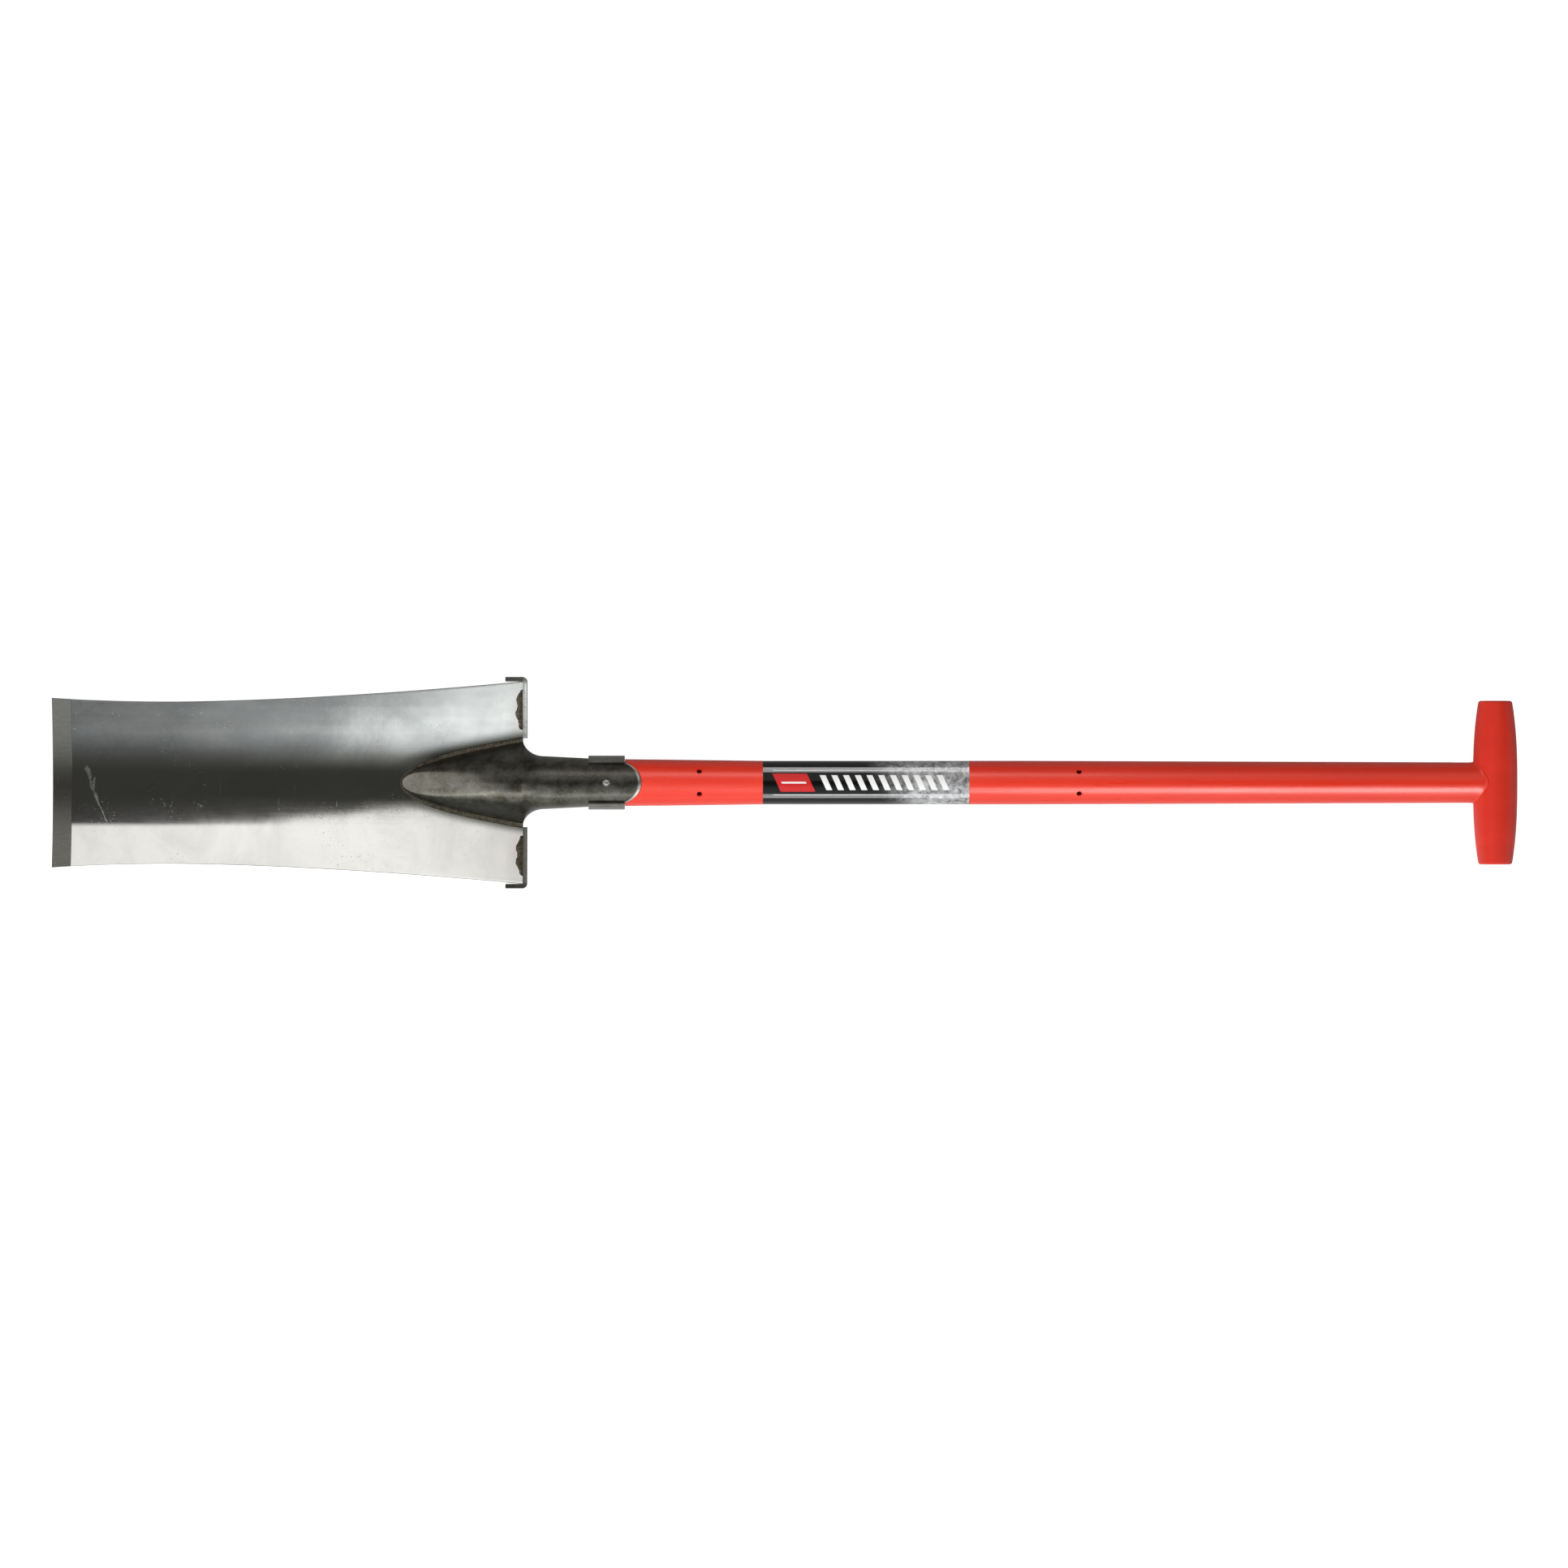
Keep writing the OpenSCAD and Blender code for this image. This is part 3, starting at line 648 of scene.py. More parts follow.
def makeSocket():
    # rings from the leaf's tip: arched sections over the blade, a flare that blends the last of them into a
    # circle, the tube, its tongue with a ground end, and then the bore back to its blind end
    count = 128
    over = np.linspace(0, np.pi, count)
    upper = np.arange(2 * count) < count
    theta = join([over, over + np.pi])
    gap = np.pi / count / 2
    angle = np.where(upper, 0, np.pi) + gap + np.tile(over, 2) * (1 - 2 * gap / np.pi)
    ringY, ringZ = np.cos(angle), np.sin(angle)
    u = np.cos(theta)
    lip = np.where(upper, spade["leafLip"], 0)
    share = np.linspace(0, 1, 56)[1:, None] ** 2
    top = axisZ + socket["tubeRadius"] - spade["bladeThickness"] - spade["leafLip"]
    half = spade["leafWidth"] / 2 * np.sqrt(share)
    leafY = half * u
    arch = np.where(upper, leafArch(leafY, half), 0)
    leafZ = frontZ(leafY) + lip + top * ridgeForm(share) / ridgeForm(1) * arch
    leaf = surface(tipX + spade["leafLength"] * share, leafY, leafZ)
    t = np.linspace(0, 1, 26)[1:, None]
    share = 1 - (1 - t ** socket["flareStart"]) ** socket["flareEnd"]
    wide = socket["tubeRadius"] + socket["flareOver"]
    flareY = leafY[-1] + (wide * ringY - leafY[-1]) * share
    flareZ = leafZ[-1] + (axisZ + wide * ringZ - leafZ[-1]) * share
    flare = surface(shoulderX + t * spade["flareLength"], flareY, flareZ)
    mouth, bore = spade["mouthRadius"], spade["boreRadius"]
    tubeX = np.linspace(flareX, collarX, 24)[1:, None]
    tubeR = np.interp(tubeX, [flareX, collarX], [wide, mouth])
    end = tongueEnd(mouth * ringY, ringZ > 0)[None, :]
    onTongue = ease(0.5, 5, end - mouthX)
    bevel = socket["tongueBevel"]
    plainX = collarX + (end - bevel - collarX) * np.linspace(0, 1, 22)[1:, None]
    bevelX = end - bevel + bevel * np.linspace(0, 1, 6)[1:-1, None]
    fall = onTongue * socket["tongueDrop"] * ((bevelX - end + bevel) / bevel) ** 1.4
    turn = np.linspace(0, np.pi / 2, 5)[:, None]
    rimX = end - socket["rimRound"] * (1 - np.sin(turn))
    rimR = mouth - onTongue * socket["tongueDrop"] - socket["rimRound"] * (1 - np.cos(turn))
    boreX = np.array([mouthX - 1, flareX, boreEndX])[:, None]
    boreR = np.array([bore, bore, spade["boreEndRadius"]])[:, None]
    wholeX = join([part + 0 * end for part in (tubeX, plainX, bevelX, rimX, end, boreX)])
    wholeR = (tubeR, mouth + 0 * plainX, mouth - fall, rimR, bore, boreR)
    wholeR = join([part + 0 * end for part in wholeR])
    tube = surface(wholeX, wholeR * ringY, axisZ + wholeR * ringZ)
    shell = join([leaf, flare, tube])
    bare = np.zeros(shell.shape[:2])
    bare[-len(tube):] = ease(bevel, 0.4 * bevel, end - wholeX) * onTongue
    addPiece("socketPiece", "socket", socketLacquer, [shell], {"bare": bare}, 38)


makeSocket()

collar = dict(
    gap=52.0,  # degrees open each side of the front
    edgeRound=0.5,
    wornShare=0.35,
    wornReach=0.8,
)


def makeCollar():
    # a rounded strip carried round the back and sides of the socket's mouth
    ring = roundedStrip(spade["collarThickness"], spade["collarLength"], collar["edgeRound"])
    angle = np.radians(np.linspace(collar["gap"], 360 - collar["gap"], 150))[:, None]
    radius = spade["mouthRadius"] + spade["fit"] + ring[:, 0]
    x = collarX + ring[:, 1]
    shell = surface(x, radius * np.sin(angle), axisZ + radius * np.cos(angle))
    fromEnd = np.minimum(ring[:, 1], spade["collarLength"] - ring[:, 1])
    outside = ring[:, 0] > spade["collarThickness"] / 2
    bare = collar["wornShare"] * np.clip(1 - fromEnd / collar["wornReach"], 0, 1) * outside
    addPiece("collarPiece", "collar", treadLacquer, [shell], {"bare": bare + 0 * angle})


makeCollar()


def makeDrawn(name, colour, other, metallic, roughness):
    # drawn bar, streaked along X
    material, tree, shader = startMaterial(name)
    streak = cloud(objectPlace(tree, (0.03, 1, 1)), 0.8, 4, 0.6)
    setInputs(shader, {
        "Base Color": blend(remap(streak, 0.3, 0.7), colour, other),
        "Roughness": remap(streak, 0.3, 0.7, roughness, roughness + 0.15),
        "Metallic": metallic})
    bumpUp(shader, [(streak, 0.03, 0.3)])
    return material


rivet = dict(
    shank=2.4,
    head=3.6,
    frontDome=2.0,
    backDome=1.2,
    domeShare=0.985,  # how far the front dome runs to its edge
    under=0.1,  # step under the heads
    bright=(0.70, 0.69, 0.66, 1),
    lacquer=(0.045, 0.042, 0.035, 1),
)


def makeRivetSteel():
    # steel rubbed bright in the middle of each head, with dark lacquer left round the rim
    material, tree, shader = startMaterial("rubbedRivet")
    patchy = remap(cloud(objectPlace(tree), 1.4, 3), 0.3, 0.7, -0.2, 0.2)
    bare = remap(total(readMark(tree, "rubbed"), patchy), 0.3, 0.6)
    setInputs(shader, {
        "Base Color": blend(bare, rivet["lacquer"], rivet["bright"]),
        "Metallic": bare,
        "Roughness": remap(bare, 0, 1, 0.4, 0.28)})
    bumpUp(shader, [(patchy, 0.05, 0.3)])
    return material


def makeRivet():
    # a profile turned about the rivet's axis: domed head in front, shank, low dome behind
    front = axisZ + spade["mouthRadius"]
    back = axisZ - spade["mouthRadius"] - spade["fit"] - spade["collarThickness"]
    share = np.linspace(0.02, 1, 14)
    head, shank, under = rivet["head"], rivet["shank"], rivet["under"]
    domeZ = front + rivet["frontDome"] * np.sqrt(1 - (rivet["domeShare"] * share) ** 2)
    lowZ = back - rivet["backDome"] * (1 - share ** 2)
    radius = join([head * share, [head - under, shank, shank, head - under], (head * share)[::-1]])
    height = join([domeZ, [front - under, front - under, back + under, back + under], lowZ[::-1]])
    radius, height = radius[:, None], height[:, None]
    angle = np.linspace(0, 2 * np.pi, 64, endpoint=False)
    middle = mouthX - spade["collarLength"] / 2
    shell = surface(middle + radius * np.cos(angle), radius * np.sin(angle), height)
    rubbed = join([1 - share, np.zeros(4), 1 - share[::-1]])[:, None] + 0 * angle
    addPiece("rivetPiece", "rivet", makeRivetSteel(), [shell], {"rubbed": rubbed})


makeRivet()
print("socket, collar and rivet made")

pinShade = (0.11, 0.004, 0.003, 1)  # painted shade in the pin holes


def makeMouldedRed(name, red, deepRed, roughness):
    # moulded plastic: faint flow clouds, a fine grain, rubbed streaks and painted shade in what is sunk
    material, tree, shader = startMaterial(name)
    flow = cloud(objectPlace(tree, (0.25, 1, 1)), 24, 3, 0.5, 0.5)
    colour = blend(remap(flow, 0.3, 0.7), red, deepRed)
    # painted shade: the colour darkens down the pin holes
    colour = blend(remap(readMark(tree, "sunk"), 0.004, 0.3), colour, pinShade)
    grain = cloud(objectPlace(tree), 0.55, 2)
    rubbed = cloud(objectPlace(tree, (0.06, 1, 1)), 5, 3, 0.6)
    rough = remap(rubbed, 0.3, 0.75, roughness - 0.05, roughness + 0.06)
    setInputs(shader, {"Base Color": colour, "Roughness": rough})
    bumpUp(shader, [(grain, 0.03, 0.18), (flow, 0.10, 0.10)])
    return material


grip = dict(
    length=133.0,
    shoulderRadius=14.0,
    endRadius=11.7,
    swell=2.6,
    # a little darker than the sleeve's red: painted shade for the weaker light at the grip
    red=(0.71, 0.028, 0.012, 1),
    deepRed=(0.63, 0.022, 0.009, 1),
)
gripRed = makeMouldedRed("mouldedGrip", grip["red"], grip["deepRed"], 0.46)
gripEdge = grip["shoulderRadius"] - grip["endRadius"]
gripStraight = grip["length"] / 2 - gripEdge


def gripRadiusAt(y):
    # barrel radius of the grip, falling by a power towards its rounded ends
    fall = (np.minimum(abs(y), gripStraight) / gripStraight) ** grip["swell"]
    return spade["gripRadius"] - (spade["gripRadius"] - grip["shoulderRadius"]) * fall


def makeGrip():
    # a barrel turned about the grip's axis, with rounded flat ends
    side = gripStraight * np.linspace(0, 1, 46)[1:]
    turn = np.linspace(0, np.pi / 2, 8)[1:]
    halfY = join([side, gripStraight + gripEdge * np.sin(turn)])
    halfR = join([gripRadiusAt(side), grip["endRadius"] + gripEdge * np.cos(turn)])
    y = join([-halfY[::-1], [0], halfY])[:, None]
    radius = join([halfR[::-1], [spade["gripRadius"]], halfR])[:, None]
    angle = np.linspace(0, 2 * np.pi, 176, endpoint=False)
    shell = surface(gripX + radius * np.cos(angle), y, axisZ + radius * np.sin(angle))
    addPiece("gripPiece", "grip", gripRed, [shell])


makeGrip()

sleeve = dict(
    startRadius=19.1,
    pinsRadius=18.35,
    endRadius=16.45,
    straightStart=110.0,  # distances from the socket's mouth
    firstPins=60.5,
    straightEnd=317.5,
    secondPins=368.5,
    pinAngle=31.0,
    pinDepth=5.6,
    pinPatch=4.6,  # half width of the patch drawn into circles
    pinWall=([0, 1.86, 1.95, 2.07, 2.21, 2.5], [1, 0.98, 0.6, 0.03, 0.006, 0]),  # radii, shares of depth
    meanRadius=18.0,
    headEnd=22.0,
    tail=34.0,  # where the coped end starts, before the grip's axis
    labelSeat=0.4,
    partingHeight=0.07,
    partingWidth=0.45,
    mouthAir=0.3,
    filletHeight=0.7,
    filletLength=1.1,
    red=(0.75, 0.027, 0.006, 1),
    deepRed=(0.69, 0.022, 0.005, 1),
)
sleeveRed = makeMouldedRed("mouldedShaft", sleeve["red"], sleeve["deepRed"], 0.30)


def sleeveRadius(x):
    # straight cones from the socket to the pins, the label and the grip
    stops = [0, sleeve["firstPins"], sleeve["straightStart"], sleeve["straightEnd"]]
    stops = [mouthX + stop for stop in stops] + [gripX - spade["gripRadius"]]
    radii = [sleeve["startRadius"], sleeve["pinsRadius"]] + [spade["shaftRadius"]] * 2
    return np.interp(x, stops, radii + [sleeve["endRadius"]])


def aboutEach(centres, offsets):
    # the offsets laid about each centre, both ways
    both = join([-offsets[:0:-1], offsets])
    return (np.asarray(centres)[:, None] + both).ravel()


def turnBetween(angle, other):
    # shortest signed turn from one angle to another
    return np.angle(np.exp(1j * (angle - other)))


def makeSleeve():
    # rings along the shaft: the spigot in the socket, an end that clears the tongue, straight cones, the
    # label's seat and an end coped on the grip; at the pin holes cells are drawn into circles and sunk
    mean, patch = sleeve["meanRadius"], sleeve["pinPatch"]
    offsets = np.array([0, 0.7, 1.4, 1.84, 1.94, 2.06, 2.2, 2.6, 3.4, patch])
    pins = np.radians([90 - sleeve["pinAngle"], 90 + sleeve["pinAngle"]])
    pins = join([pins, pins + np.pi])
    taken = aboutEach(pins, offsets / mean)
    taken = join([taken, aboutEach([0, np.pi], np.array([0, 0.25, 0.5, 0.8, 1.3]) / mean)])
    coarse = np.linspace(0, 2 * np.pi, 150, endpoint=False)
    clear = abs(turnBetween(coarse[:, None], taken)).min(1) > 0.5 / mean
    clear &= abs(turnBetween(coarse[:, None], pins)).min(1) > patch / mean
    angle = np.unique(np.round(np.mod(join([taken, coarse[clear]]), 2 * np.pi), 6))
    if len(angle) % 2:
        angle = np.append(angle, (angle[-1] + 2 * np.pi) / 2)
    angle = angle[None, :]
    pinsX = [mouthX + sleeve["firstPins"], mouthX + sleeve["secondPins"]]
    tailX = gripX - sleeve["tail"]
    x = np.sort(join([
        aboutEach(pinsX, offsets),
        np.linspace(mouthX + sleeve["headEnd"], pinsX[0] - 6, 14),
        np.linspace(pinsX[0] + 6, labelX - 0.3, 16),
        [labelX, labelX + 0.01, labelEndX - 0.01, labelEndX],
        np.linspace(labelX + 0.5, labelEndX - 0.5, 60),
        np.linspace(labelEndX + 0.3, pinsX[1] - 6, 30),
        np.linspace(pinsX[1] + 6, tailX, 110),
    ]))[:, None]
    seat = (x > labelX + 0.005) & (x < labelEndX - 0.005)
    radius = np.where(seat, spade["shaftRadius"] - sleeve["labelSeat"], sleeveRadius(x))
    movedX, movedAngle, depth = x + 0 * angle, angle + 0 * x, 0 * (x + angle)
    for pinX in pinsX:
        for pin in pins:
            a, b = (x - pinX) / patch, turnBetween(angle, pin) * mean / patch
            square = np.maximum(abs(a), abs(b))
            inside = square < 1
            pull = ease(1, 0.55, square)
            scale = 1 - pull + pull * square / np.maximum(np.hypot(a, b), 1e-9)
            movedX = np.where(inside, pinX + a * scale * patch, movedX)
            movedAngle = np.where(inside, pin + b * scale * patch / mean, movedAngle)
            sunk = np.interp(square * patch, *sleeve["pinWall"])
            depth = np.maximum(depth, np.where(inside, sunk * sleeve["pinDepth"], 0))
    seam = sleeve["partingHeight"] * np.exp(-(np.sin(movedAngle) * mean / sleeve["partingWidth"]) ** 2)
    radius = radius - depth + np.where(seat, 0, seam)
    body = surface(movedX, radius * np.cos(movedAngle), axisZ + radius * np.sin(movedAngle))
    # the start: out of the bore and up an end face along the tongue's outline, with its edge taken off
    start = tongueEnd(spade["mouthRadius"] * np.cos(angle), np.sin(angle) > 0) + sleeve["mouthAir"]
    spigot = spade["boreRadius"] - spade["fit"]
    boreX = np.array([boreEndX + 0.5, flareX, mouthX - 2])[:, None] + 0 * angle
    boreR = np.array([spade["boreEndRadius"] - spade["fit"], spigot, spigot])[:, None] + 0 * angle
    share = np.linspace(0, 1, 16)[1:-1, None] ** 1.4
    headX = join([start, start, start + 0.15, start + (x[0] - start) * share])
    headR = sleeveRadius(headX)
    headR[0] = spigot
    headR[1] -= 0.2
    headX, headR = join([boreX, headX]), join([boreR, headR])
    head = surface(headX, headR * np.cos(angle), axisZ + headR * np.sin(angle))
    # the end: on the barrel of the grip, with a small fillet, and a little way into it
    endR = sleeve["endRadius"] + 0 * angle
    barrel = gripRadiusAt(endR * np.cos(angle))
    cope = gripX - np.sqrt(np.maximum(barrel ** 2 - (endR * np.sin(angle)) ** 2, 0))
    left = join([np.linspace(1, 0.12, 22)[1:], [0.09, 0.06, 0.04, 0.02, 0.0]])[:, None]
    footX = cope - (cope - tailX) * left
    fillet = sleeve["filletHeight"] * np.exp(-(cope - footX) / sleeve["filletLength"])
    footR = join([sleeveRadius(footX) + fillet, endR - 0.5])
    footX = join([footX, cope + 2.5])
    foot = surface(footX, footR * np.cos(angle), axisZ + footR * np.sin(angle))
    sunk = join([0 * headX, depth / sleeve["pinDepth"], 0 * footX])
    shell = join([head, body, foot])
    addPiece("sleevePiece", "shaft_sleeve", sleeveRed, [shell], {"sunk": sunk})


makeSleeve()

label = dict(
    thickness=0.3,
    endAir=0.1,
    wrap=346.0,
    slant=0.45,
    soft=0.25,  # blur of the print's edges
    black=(0.004, 0.004, 0.0045, 1),
    stoneDark=(0.07, 0.068, 0.066, 1),
    stoneLight=(0.50, 0.50, 0.51, 1),
    stoneSpan=(88.0, 128.0),  # spans are distances along the label, halves from its middle line
    rule=(0.45, 0.45, 0.45, 1),
    ruleSpan=(8.0, 159.0),
    ruleEdges=(10.2, 10.9),
    white=(0.80, 0.80, 0.79, 1),
    barPitch=9.5,
    barShare=(0.12, 0.62),
    barSpan=(47.5, 152.0),
    barHalf=6.2,
    red=(0.55, 0.020, 0.020, 1),
    blockSpan=(11.0, 39.0),
    blockHalf=7.6,
    notchSpan=(15.0, 35.0),
    notchHalf=0.7,
)


def makeLabelPrint():
    # printed film: stone grey fading to black, slanted white bars, a red block and thin rules
    material, tree, shader = startMaterial("printedFilm")
    along, around = readMark(tree, "along"), readMark(tree, "around")
    place, soft = objectPlace(tree), label["soft"]
    leaning = timesPlus(around, label["slant"], along)
    height = distance(around)

    def slantedBox(kind):
        # 1 in a slanted box about the middle line
        inside = band(height, -1, label[kind + "Half"], soft)
        return product(band(leaning, *label[kind + "Span"], soft), inside)

    stone = remap(cloud(place, 6.5, 7, 0.72, 0.5), 0.36, 0.62)
    stone = blend(stone, label["stoneDark"], label["stoneLight"])
    fade = remap(leaning, *label["stoneSpan"], smooth=True)
    colour = blend(fade, label["black"], stone)
    rules = band(height, *label["ruleEdges"], soft)
    rules = product(rules, band(along, *label["ruleSpan"], soft))
    colour = blend(rules, colour, label["rule"])
    wave = sums("FRACT", sums("DIVIDE", leaning, label["barPitch"]))
    bars = product(band(wave, *label["barShare"], 0.03), slantedBox("bar"))
    colour = blend(bars, colour, label["white"])
    colour = blend(slantedBox("block"), colour, label["red"])
    colour = blend(slantedBox("notch"), colour, label["white"])
    rough = remap(cloud(place, 9, 3), 0.3, 0.7, 0.09, 0.14)
    setInputs(shader, {"Base Color": colour, "Roughness": rough, "Specular IOR Level": 0.25})
    bumpUp(shader, [(cloud(place, 0.8, 2), 0.01, 0.15)])
    return material


def makeLabel():
    # a film bent round the shaft, which keeps distances along and round it for the print
    half = math.radians(label["wrap"] / 2)
    angle = np.linspace(-half, half, 190)[None, :]
    x = np.linspace(0, spade["labelLength"] - 2 * label["endAir"], 90)[:, None]
    outer = spade["shaftRadius"]
    radii = join([0 * angle + outer, 0 * angle + outer - label["thickness"]], 1)
    angle = join([angle, angle[:, ::-1]], 1)
    shell = surface(labelX + label["endAir"] + x, radii * np.sin(angle), axisZ + radii * np.cos(angle))
    marks = {"along": x + 0 * angle, "around": outer * angle + 0 * x}
    addPiece("labelPiece", "label", makeLabelPrint(), [shell], marks, 50)


makeLabel()

# The rod and the bar inside keep their meshes: name, two shades, metallic share, roughness
inside = {
    "shaft_core": ("glassFibreRod", (0.70, 0.62, 0.38, 1), (0.55, 0.47, 0.26, 1), 0.0, 0.45),
    "grip_bar": ("drawnBar", (0.55, 0.55, 0.54, 1), (0.40, 0.40, 0.39, 1), 1.0, 0.28),
}
for node, look in inside.items():
    mesh = frame["nodes"][node].data
    mesh.materials.clear()
    mesh.materials.append(makeDrawn(*look))

studio = dict(
    floorSize=30.0,
    floorColour=(0.86, 0.86, 0.855, 1),
    floorGlow=0.90,
    floorBounce=0.50,
    farBounce=0.08,
    bounceFade=(-30, 10),  # where the near floor's glow ends, in millimetres
    bounceEnd=(570, 630),
    bounceLeft=0.3,
    horizon=0.85,
    nearHorizon=1.6,
    farHorizon=0.22,
    sweep=2.353,  # how much wider than the camera's spread the panels are
    streakLean=0.035,
    greySpan=(-0.175, -0.125),  # spans are places along the swept panels
    greyLevels=(0.195, 0.46),
    whiteSpan=(-0.140, -0.116),
    nearRise=(0.08, 0.42),
    nearFall=(0.5, 0.8, 1, 0.75),
    nearEnd=(-0.3, -0.22),
    dipSpan=(-0.0905, -0.081, 0.005),
    dipRise=(0.40, 0.58, 0, 0.55),
    handleSpan=(-0.066, -0.054),
    handleRise=(0.4, 0.85, 0.45, 1.2),
    farEdge=(-0.15, -0.08, 0.357, 0.158),  # the far panel's lower edge
    farSoft=0.02,
    farFades=((-0.105, -0.07, 1, 0.70), (-0.42, -0.24), (-0.185, -0.145, 0.87, 1)),
    farEnd=(0.25, 0.4, 1, 0),
    farHigh=(0.75, 0.9, 1, 0.3),
    leftRise=(0.06, 0.42),
    leftEnd=(-0.22, -0.3),
    flankSpan=(-0.24, -0.13, 0.02),
    flankRise=(0.05, 0.25),
    wallTop=(0.12, 0.32),
    overhead=0.042,
    nearSide=0.95,
    farSide=1.16,
    leftGrey=0.37,
    leftNear=0.5,
    haze=(0.62, 1.38),  # least and most of the near panel's cloudy light
    hazeSpacing=(0.015, 0.19),
    ivory=(1.0, 0.985, 0.955, 1),
    cool=(0.95, 1.0, 1.0, 1),
    olive=(1.0, 1.0, 0.88, 1),
)


def makeFloor():
    # a pale floor that glows to the camera and is darker in reflections, most so on the far side
    half = studio["floorSize"] / 2
    mesh = bpy.data.meshes.new("floor")
    corners = [(-half, -half, 0), (half, -half, 0), (half, half, 0), (-half, half, 0)]
    mesh.from_pydata(corners, [], [(0, 1, 2, 3)])
    floor = addObject("floor", mesh)
    material, tree, shader = startMaterial("paleFloor")
    seen = put(tree, "ShaderNodeLightPath").outputs["Is Camera Ray"]
    x, y = put(tree, "ShaderNodeSeparateXYZ", {0: objectPlace(tree)}).outputs[:2]
    bounce = remap(y, *studio["bounceFade"], studio["floorBounce"], studio["farBounce"])
    bounce = product(bounce, remap(x, *studio["bounceEnd"], 1, studio["bounceLeft"]))
    glow = put(tree, "ShaderNodeMix", {0: seen, 2: bounce, 3: studio["floorGlow"]}).outputs[0]
    setInputs(shader, {
        "Base Color": studio["floorColour"], "Roughness": 0.9, "Specular IOR Level": 0.1,
        "Emission Color": (1, 1, 1, 1), "Emission Strength": glow})
    mesh.materials.append(material)


def makeRoom():
    # light by direction: dark overhead, a soft panel on each side, the near one cloudy, and a wall low down
    # all round that is pale to the camera and otherwise darker on the far side
    world = bpy.data.worlds.new("room")
    scene.world = world
    world.use_nodes = True
    tree = world.node_tree
    facing = put(tree, "ShaderNodeTexCoord").outputs["Generated"]
    x, y, z = put(tree, "ShaderNodeSeparateXYZ", {0: facing}).outputs
    tilt = 2 * math.sin(restTurn)  # what the spade's lean adds to a reflected direction
    sweep = product(minus(x, tilt), studio["sweep"])
    near, aside = product(y, -1), distance(y)
    nearGrey = remap(sweep, *studio["greySpan"], *studio["greyLevels"])
    lean = timesPlus(y, studio["streakLean"], sweep)
    nearWhite = remap(lean, *studio["whiteSpan"], 0, studio["nearSide"], True)
    dip = product(band(sweep, *studio["dipSpan"]), remap(near, *studio["dipRise"], True))
    nearWhite = product(nearWhite, minus(1, dip))
    rise = remap(near, *studio["nearRise"])
    fall = product(remap(near, *studio["nearFall"]), remap(sweep, *studio["nearEnd"]))
    handled = {0: remap(sweep, *studio["handleSpan"]), 2: 1.0, 3: remap(near, *studio["handleRise"])}
    handled = put(tree, "ShaderNodeMix", handled).outputs[0]
    light = product(total(nearGrey, nearWhite), rise, rise, fall, handled)
    along, across = studio["hazeSpacing"]
    haze = {0: product(sweep, 1 / along), 1: product(near, 1 / across)}
    haze = cloud(put(tree, "ShaderNodeCombineXYZ", haze).outputs[0], 1, 3, 0.6, 0.4)
    light = product(light, remap(haze, 0.35, 0.65, *studio["haze"]))
    farEdge = minus(y, remap(sweep, *studio["farEdge"]))
    farRise = remap(farEdge, -studio["farSoft"], studio["farSoft"], smooth=True)
    farFade = product(*(remap(sweep, *fade) for fade in studio["farFades"]))
    farFade = product(farFade, remap(x, *studio["farEnd"]), remap(y, *studio["farHigh"]))
    left = product(remap(aside, *studio["leftRise"], smooth=True), remap(x, *studio["leftEnd"]))
    flank = product(band(x, *studio["flankSpan"]), remap(near, *studio["flankRise"], smooth=True))
    light = total(light, product(farRise, farFade, studio["farSide"]), product(left, studio["leftGrey"]),
                  product(flank, studio["leftNear"]), studio["overhead"])
    high = remap(z, *studio["wallTop"], smooth=True)
    wall = remap(y, -0.6, 0.6, studio["nearHorizon"], studio["farHorizon"])
    seen = put(tree, "ShaderNodeLightPath").outputs["Is Camera Ray"]
    wall = put(tree, "ShaderNodeMix", {0: seen, 2: wall, 3: studio["horizon"]}).outputs[0]
    light = timesPlus(light, high, product(minus(1, high), wall))
    tint = blend(remap(y, -0.1, 0.1), studio["cool"], studio["ivory"])
    tint = blend(remap(aside, 0.1, 0.3), studio["olive"], tint)
    tint = blend(seen, tint, (1, 1, 1, 1))
    setInputs(tree.nodes["Background"], {"Color": tint, "Strength": light})


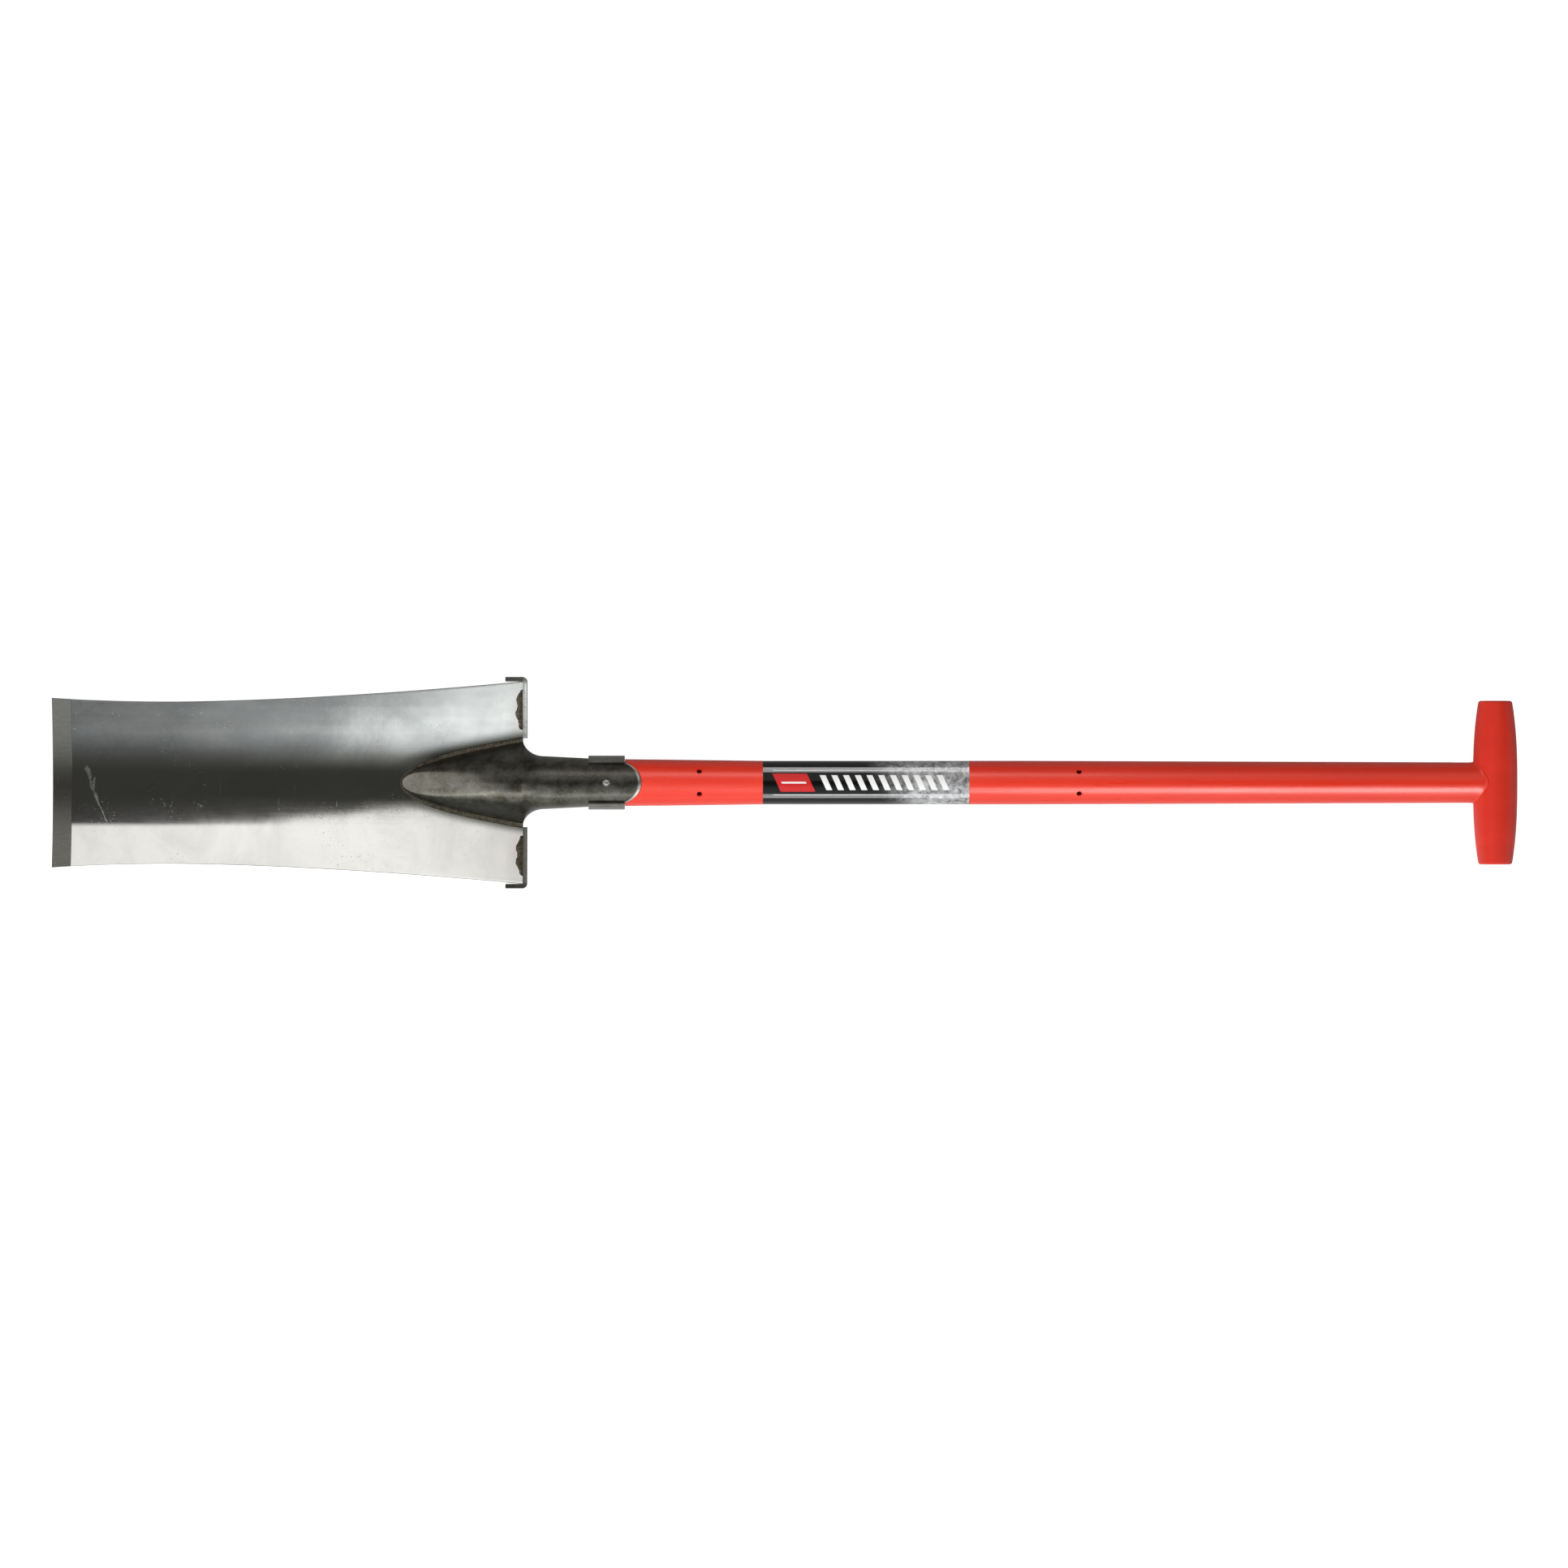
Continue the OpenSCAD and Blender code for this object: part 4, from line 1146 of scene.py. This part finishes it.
# Soft lamps: place, aim, size, brightness and the pieces that each shines in
tubePieces = ["socketPiece", "collarPiece", "rivetPiece"]
lamps = {
    "fill": ((-0.6, -0.5, 2.0), (-0.6, 0, 0), (1.4, 1.8), 5.45, []),
    "nearStrip": ((0.76, -0.86, 0.92), (0.76, 0, 0.02), (1.1, 0.56), 10.5, ["sleevePiece"]),
    "farStrip": ((0.0, 0.80, 0.90), (0.0, 0, 0.02), (0.6, 0.32), 3.2, ["sleevePiece"]),
    "labelNear": ((0.09, -0.97, 0.27), (0.09, 0, 0.02), (0.5, 0.45), 11.0, ["labelPiece"]),
    "labelFar": ((0.09, 0.95, 0.33), (0.09, 0, 0.02), (0.5, 0.55), 13.0, ["labelPiece"]),
    "tubeNear": ((-0.1, -1.05, 0.6), (-0.15, 0, 0.02), (0.35, 0.3), 3.0, tubePieces),
    "tubeFar": ((-0.1, 0.8, 0.9), (-0.15, 0, 0.02), (0.35, 0.3), 1.4, tubePieces),
    "leafEnd": ((-1.45, -0.35, 0.8), (-0.25, 0, 0.04), (2.0, 0.55), 3.3, tubePieces),
    "leafSide": ((-0.78, -0.95, 0.72), (-0.22, 0, 0.04), (0.8, 0.75), 3.4, tubePieces),
}


def makeLamp(name, place, aim, size, glow, pieces):
    # a soft lamp, seen only as a gloss on its pieces, or with none named as matt light on all
    lamp = bpy.data.lights.new(name, "AREA")
    lamp.shape = "RECTANGLE"
    lamp.size, lamp.size_y = size
    lamp.energy = glow * math.pi * lamp.size * lamp.size_y
    holder = addObject(name, lamp)
    holder.location = place
    holder.rotation_euler = (Vector(aim) - Vector(place)).to_track_quat("-Z", "Y").to_euler()
    holder.visible_camera = False
    holder.visible_glossy = bool(pieces)
    holder.visible_diffuse = not pieces
    lit = bpy.data.collections.new(name + "Lit")
    for piece in scene.collection.objects:
        if piece.name in pieces if pieces else piece.name.endswith("Piece"):
            lit.objects.link(piece)
    holder.light_linking.receiver_collection = lit


camera = dict(
    lens=200.0,
    sensor=36.0,
    frameWidth=1.2751,  # metres across the picture
    middle=(-0.0003, -0.0011, 0.015),
)


def makeCamera():
    # straight over the spade, +X to the right
    lens = bpy.data.cameras.new("camera")
    lens.lens = camera["lens"]
    lens.sensor_width = camera["sensor"]
    lens.clip_end = 100
    holder = addObject("camera", lens)
    x, y, z = camera["middle"]
    holder.location = (x, y, z + camera["frameWidth"] * camera["lens"] / camera["sensor"])
    scene.camera = holder


makeFloor()
makeRoom()
for name, values in lamps.items():
    makeLamp(name, *values)
makeCamera()
scene.view_settings.view_transform = "Standard"
print("studio set")
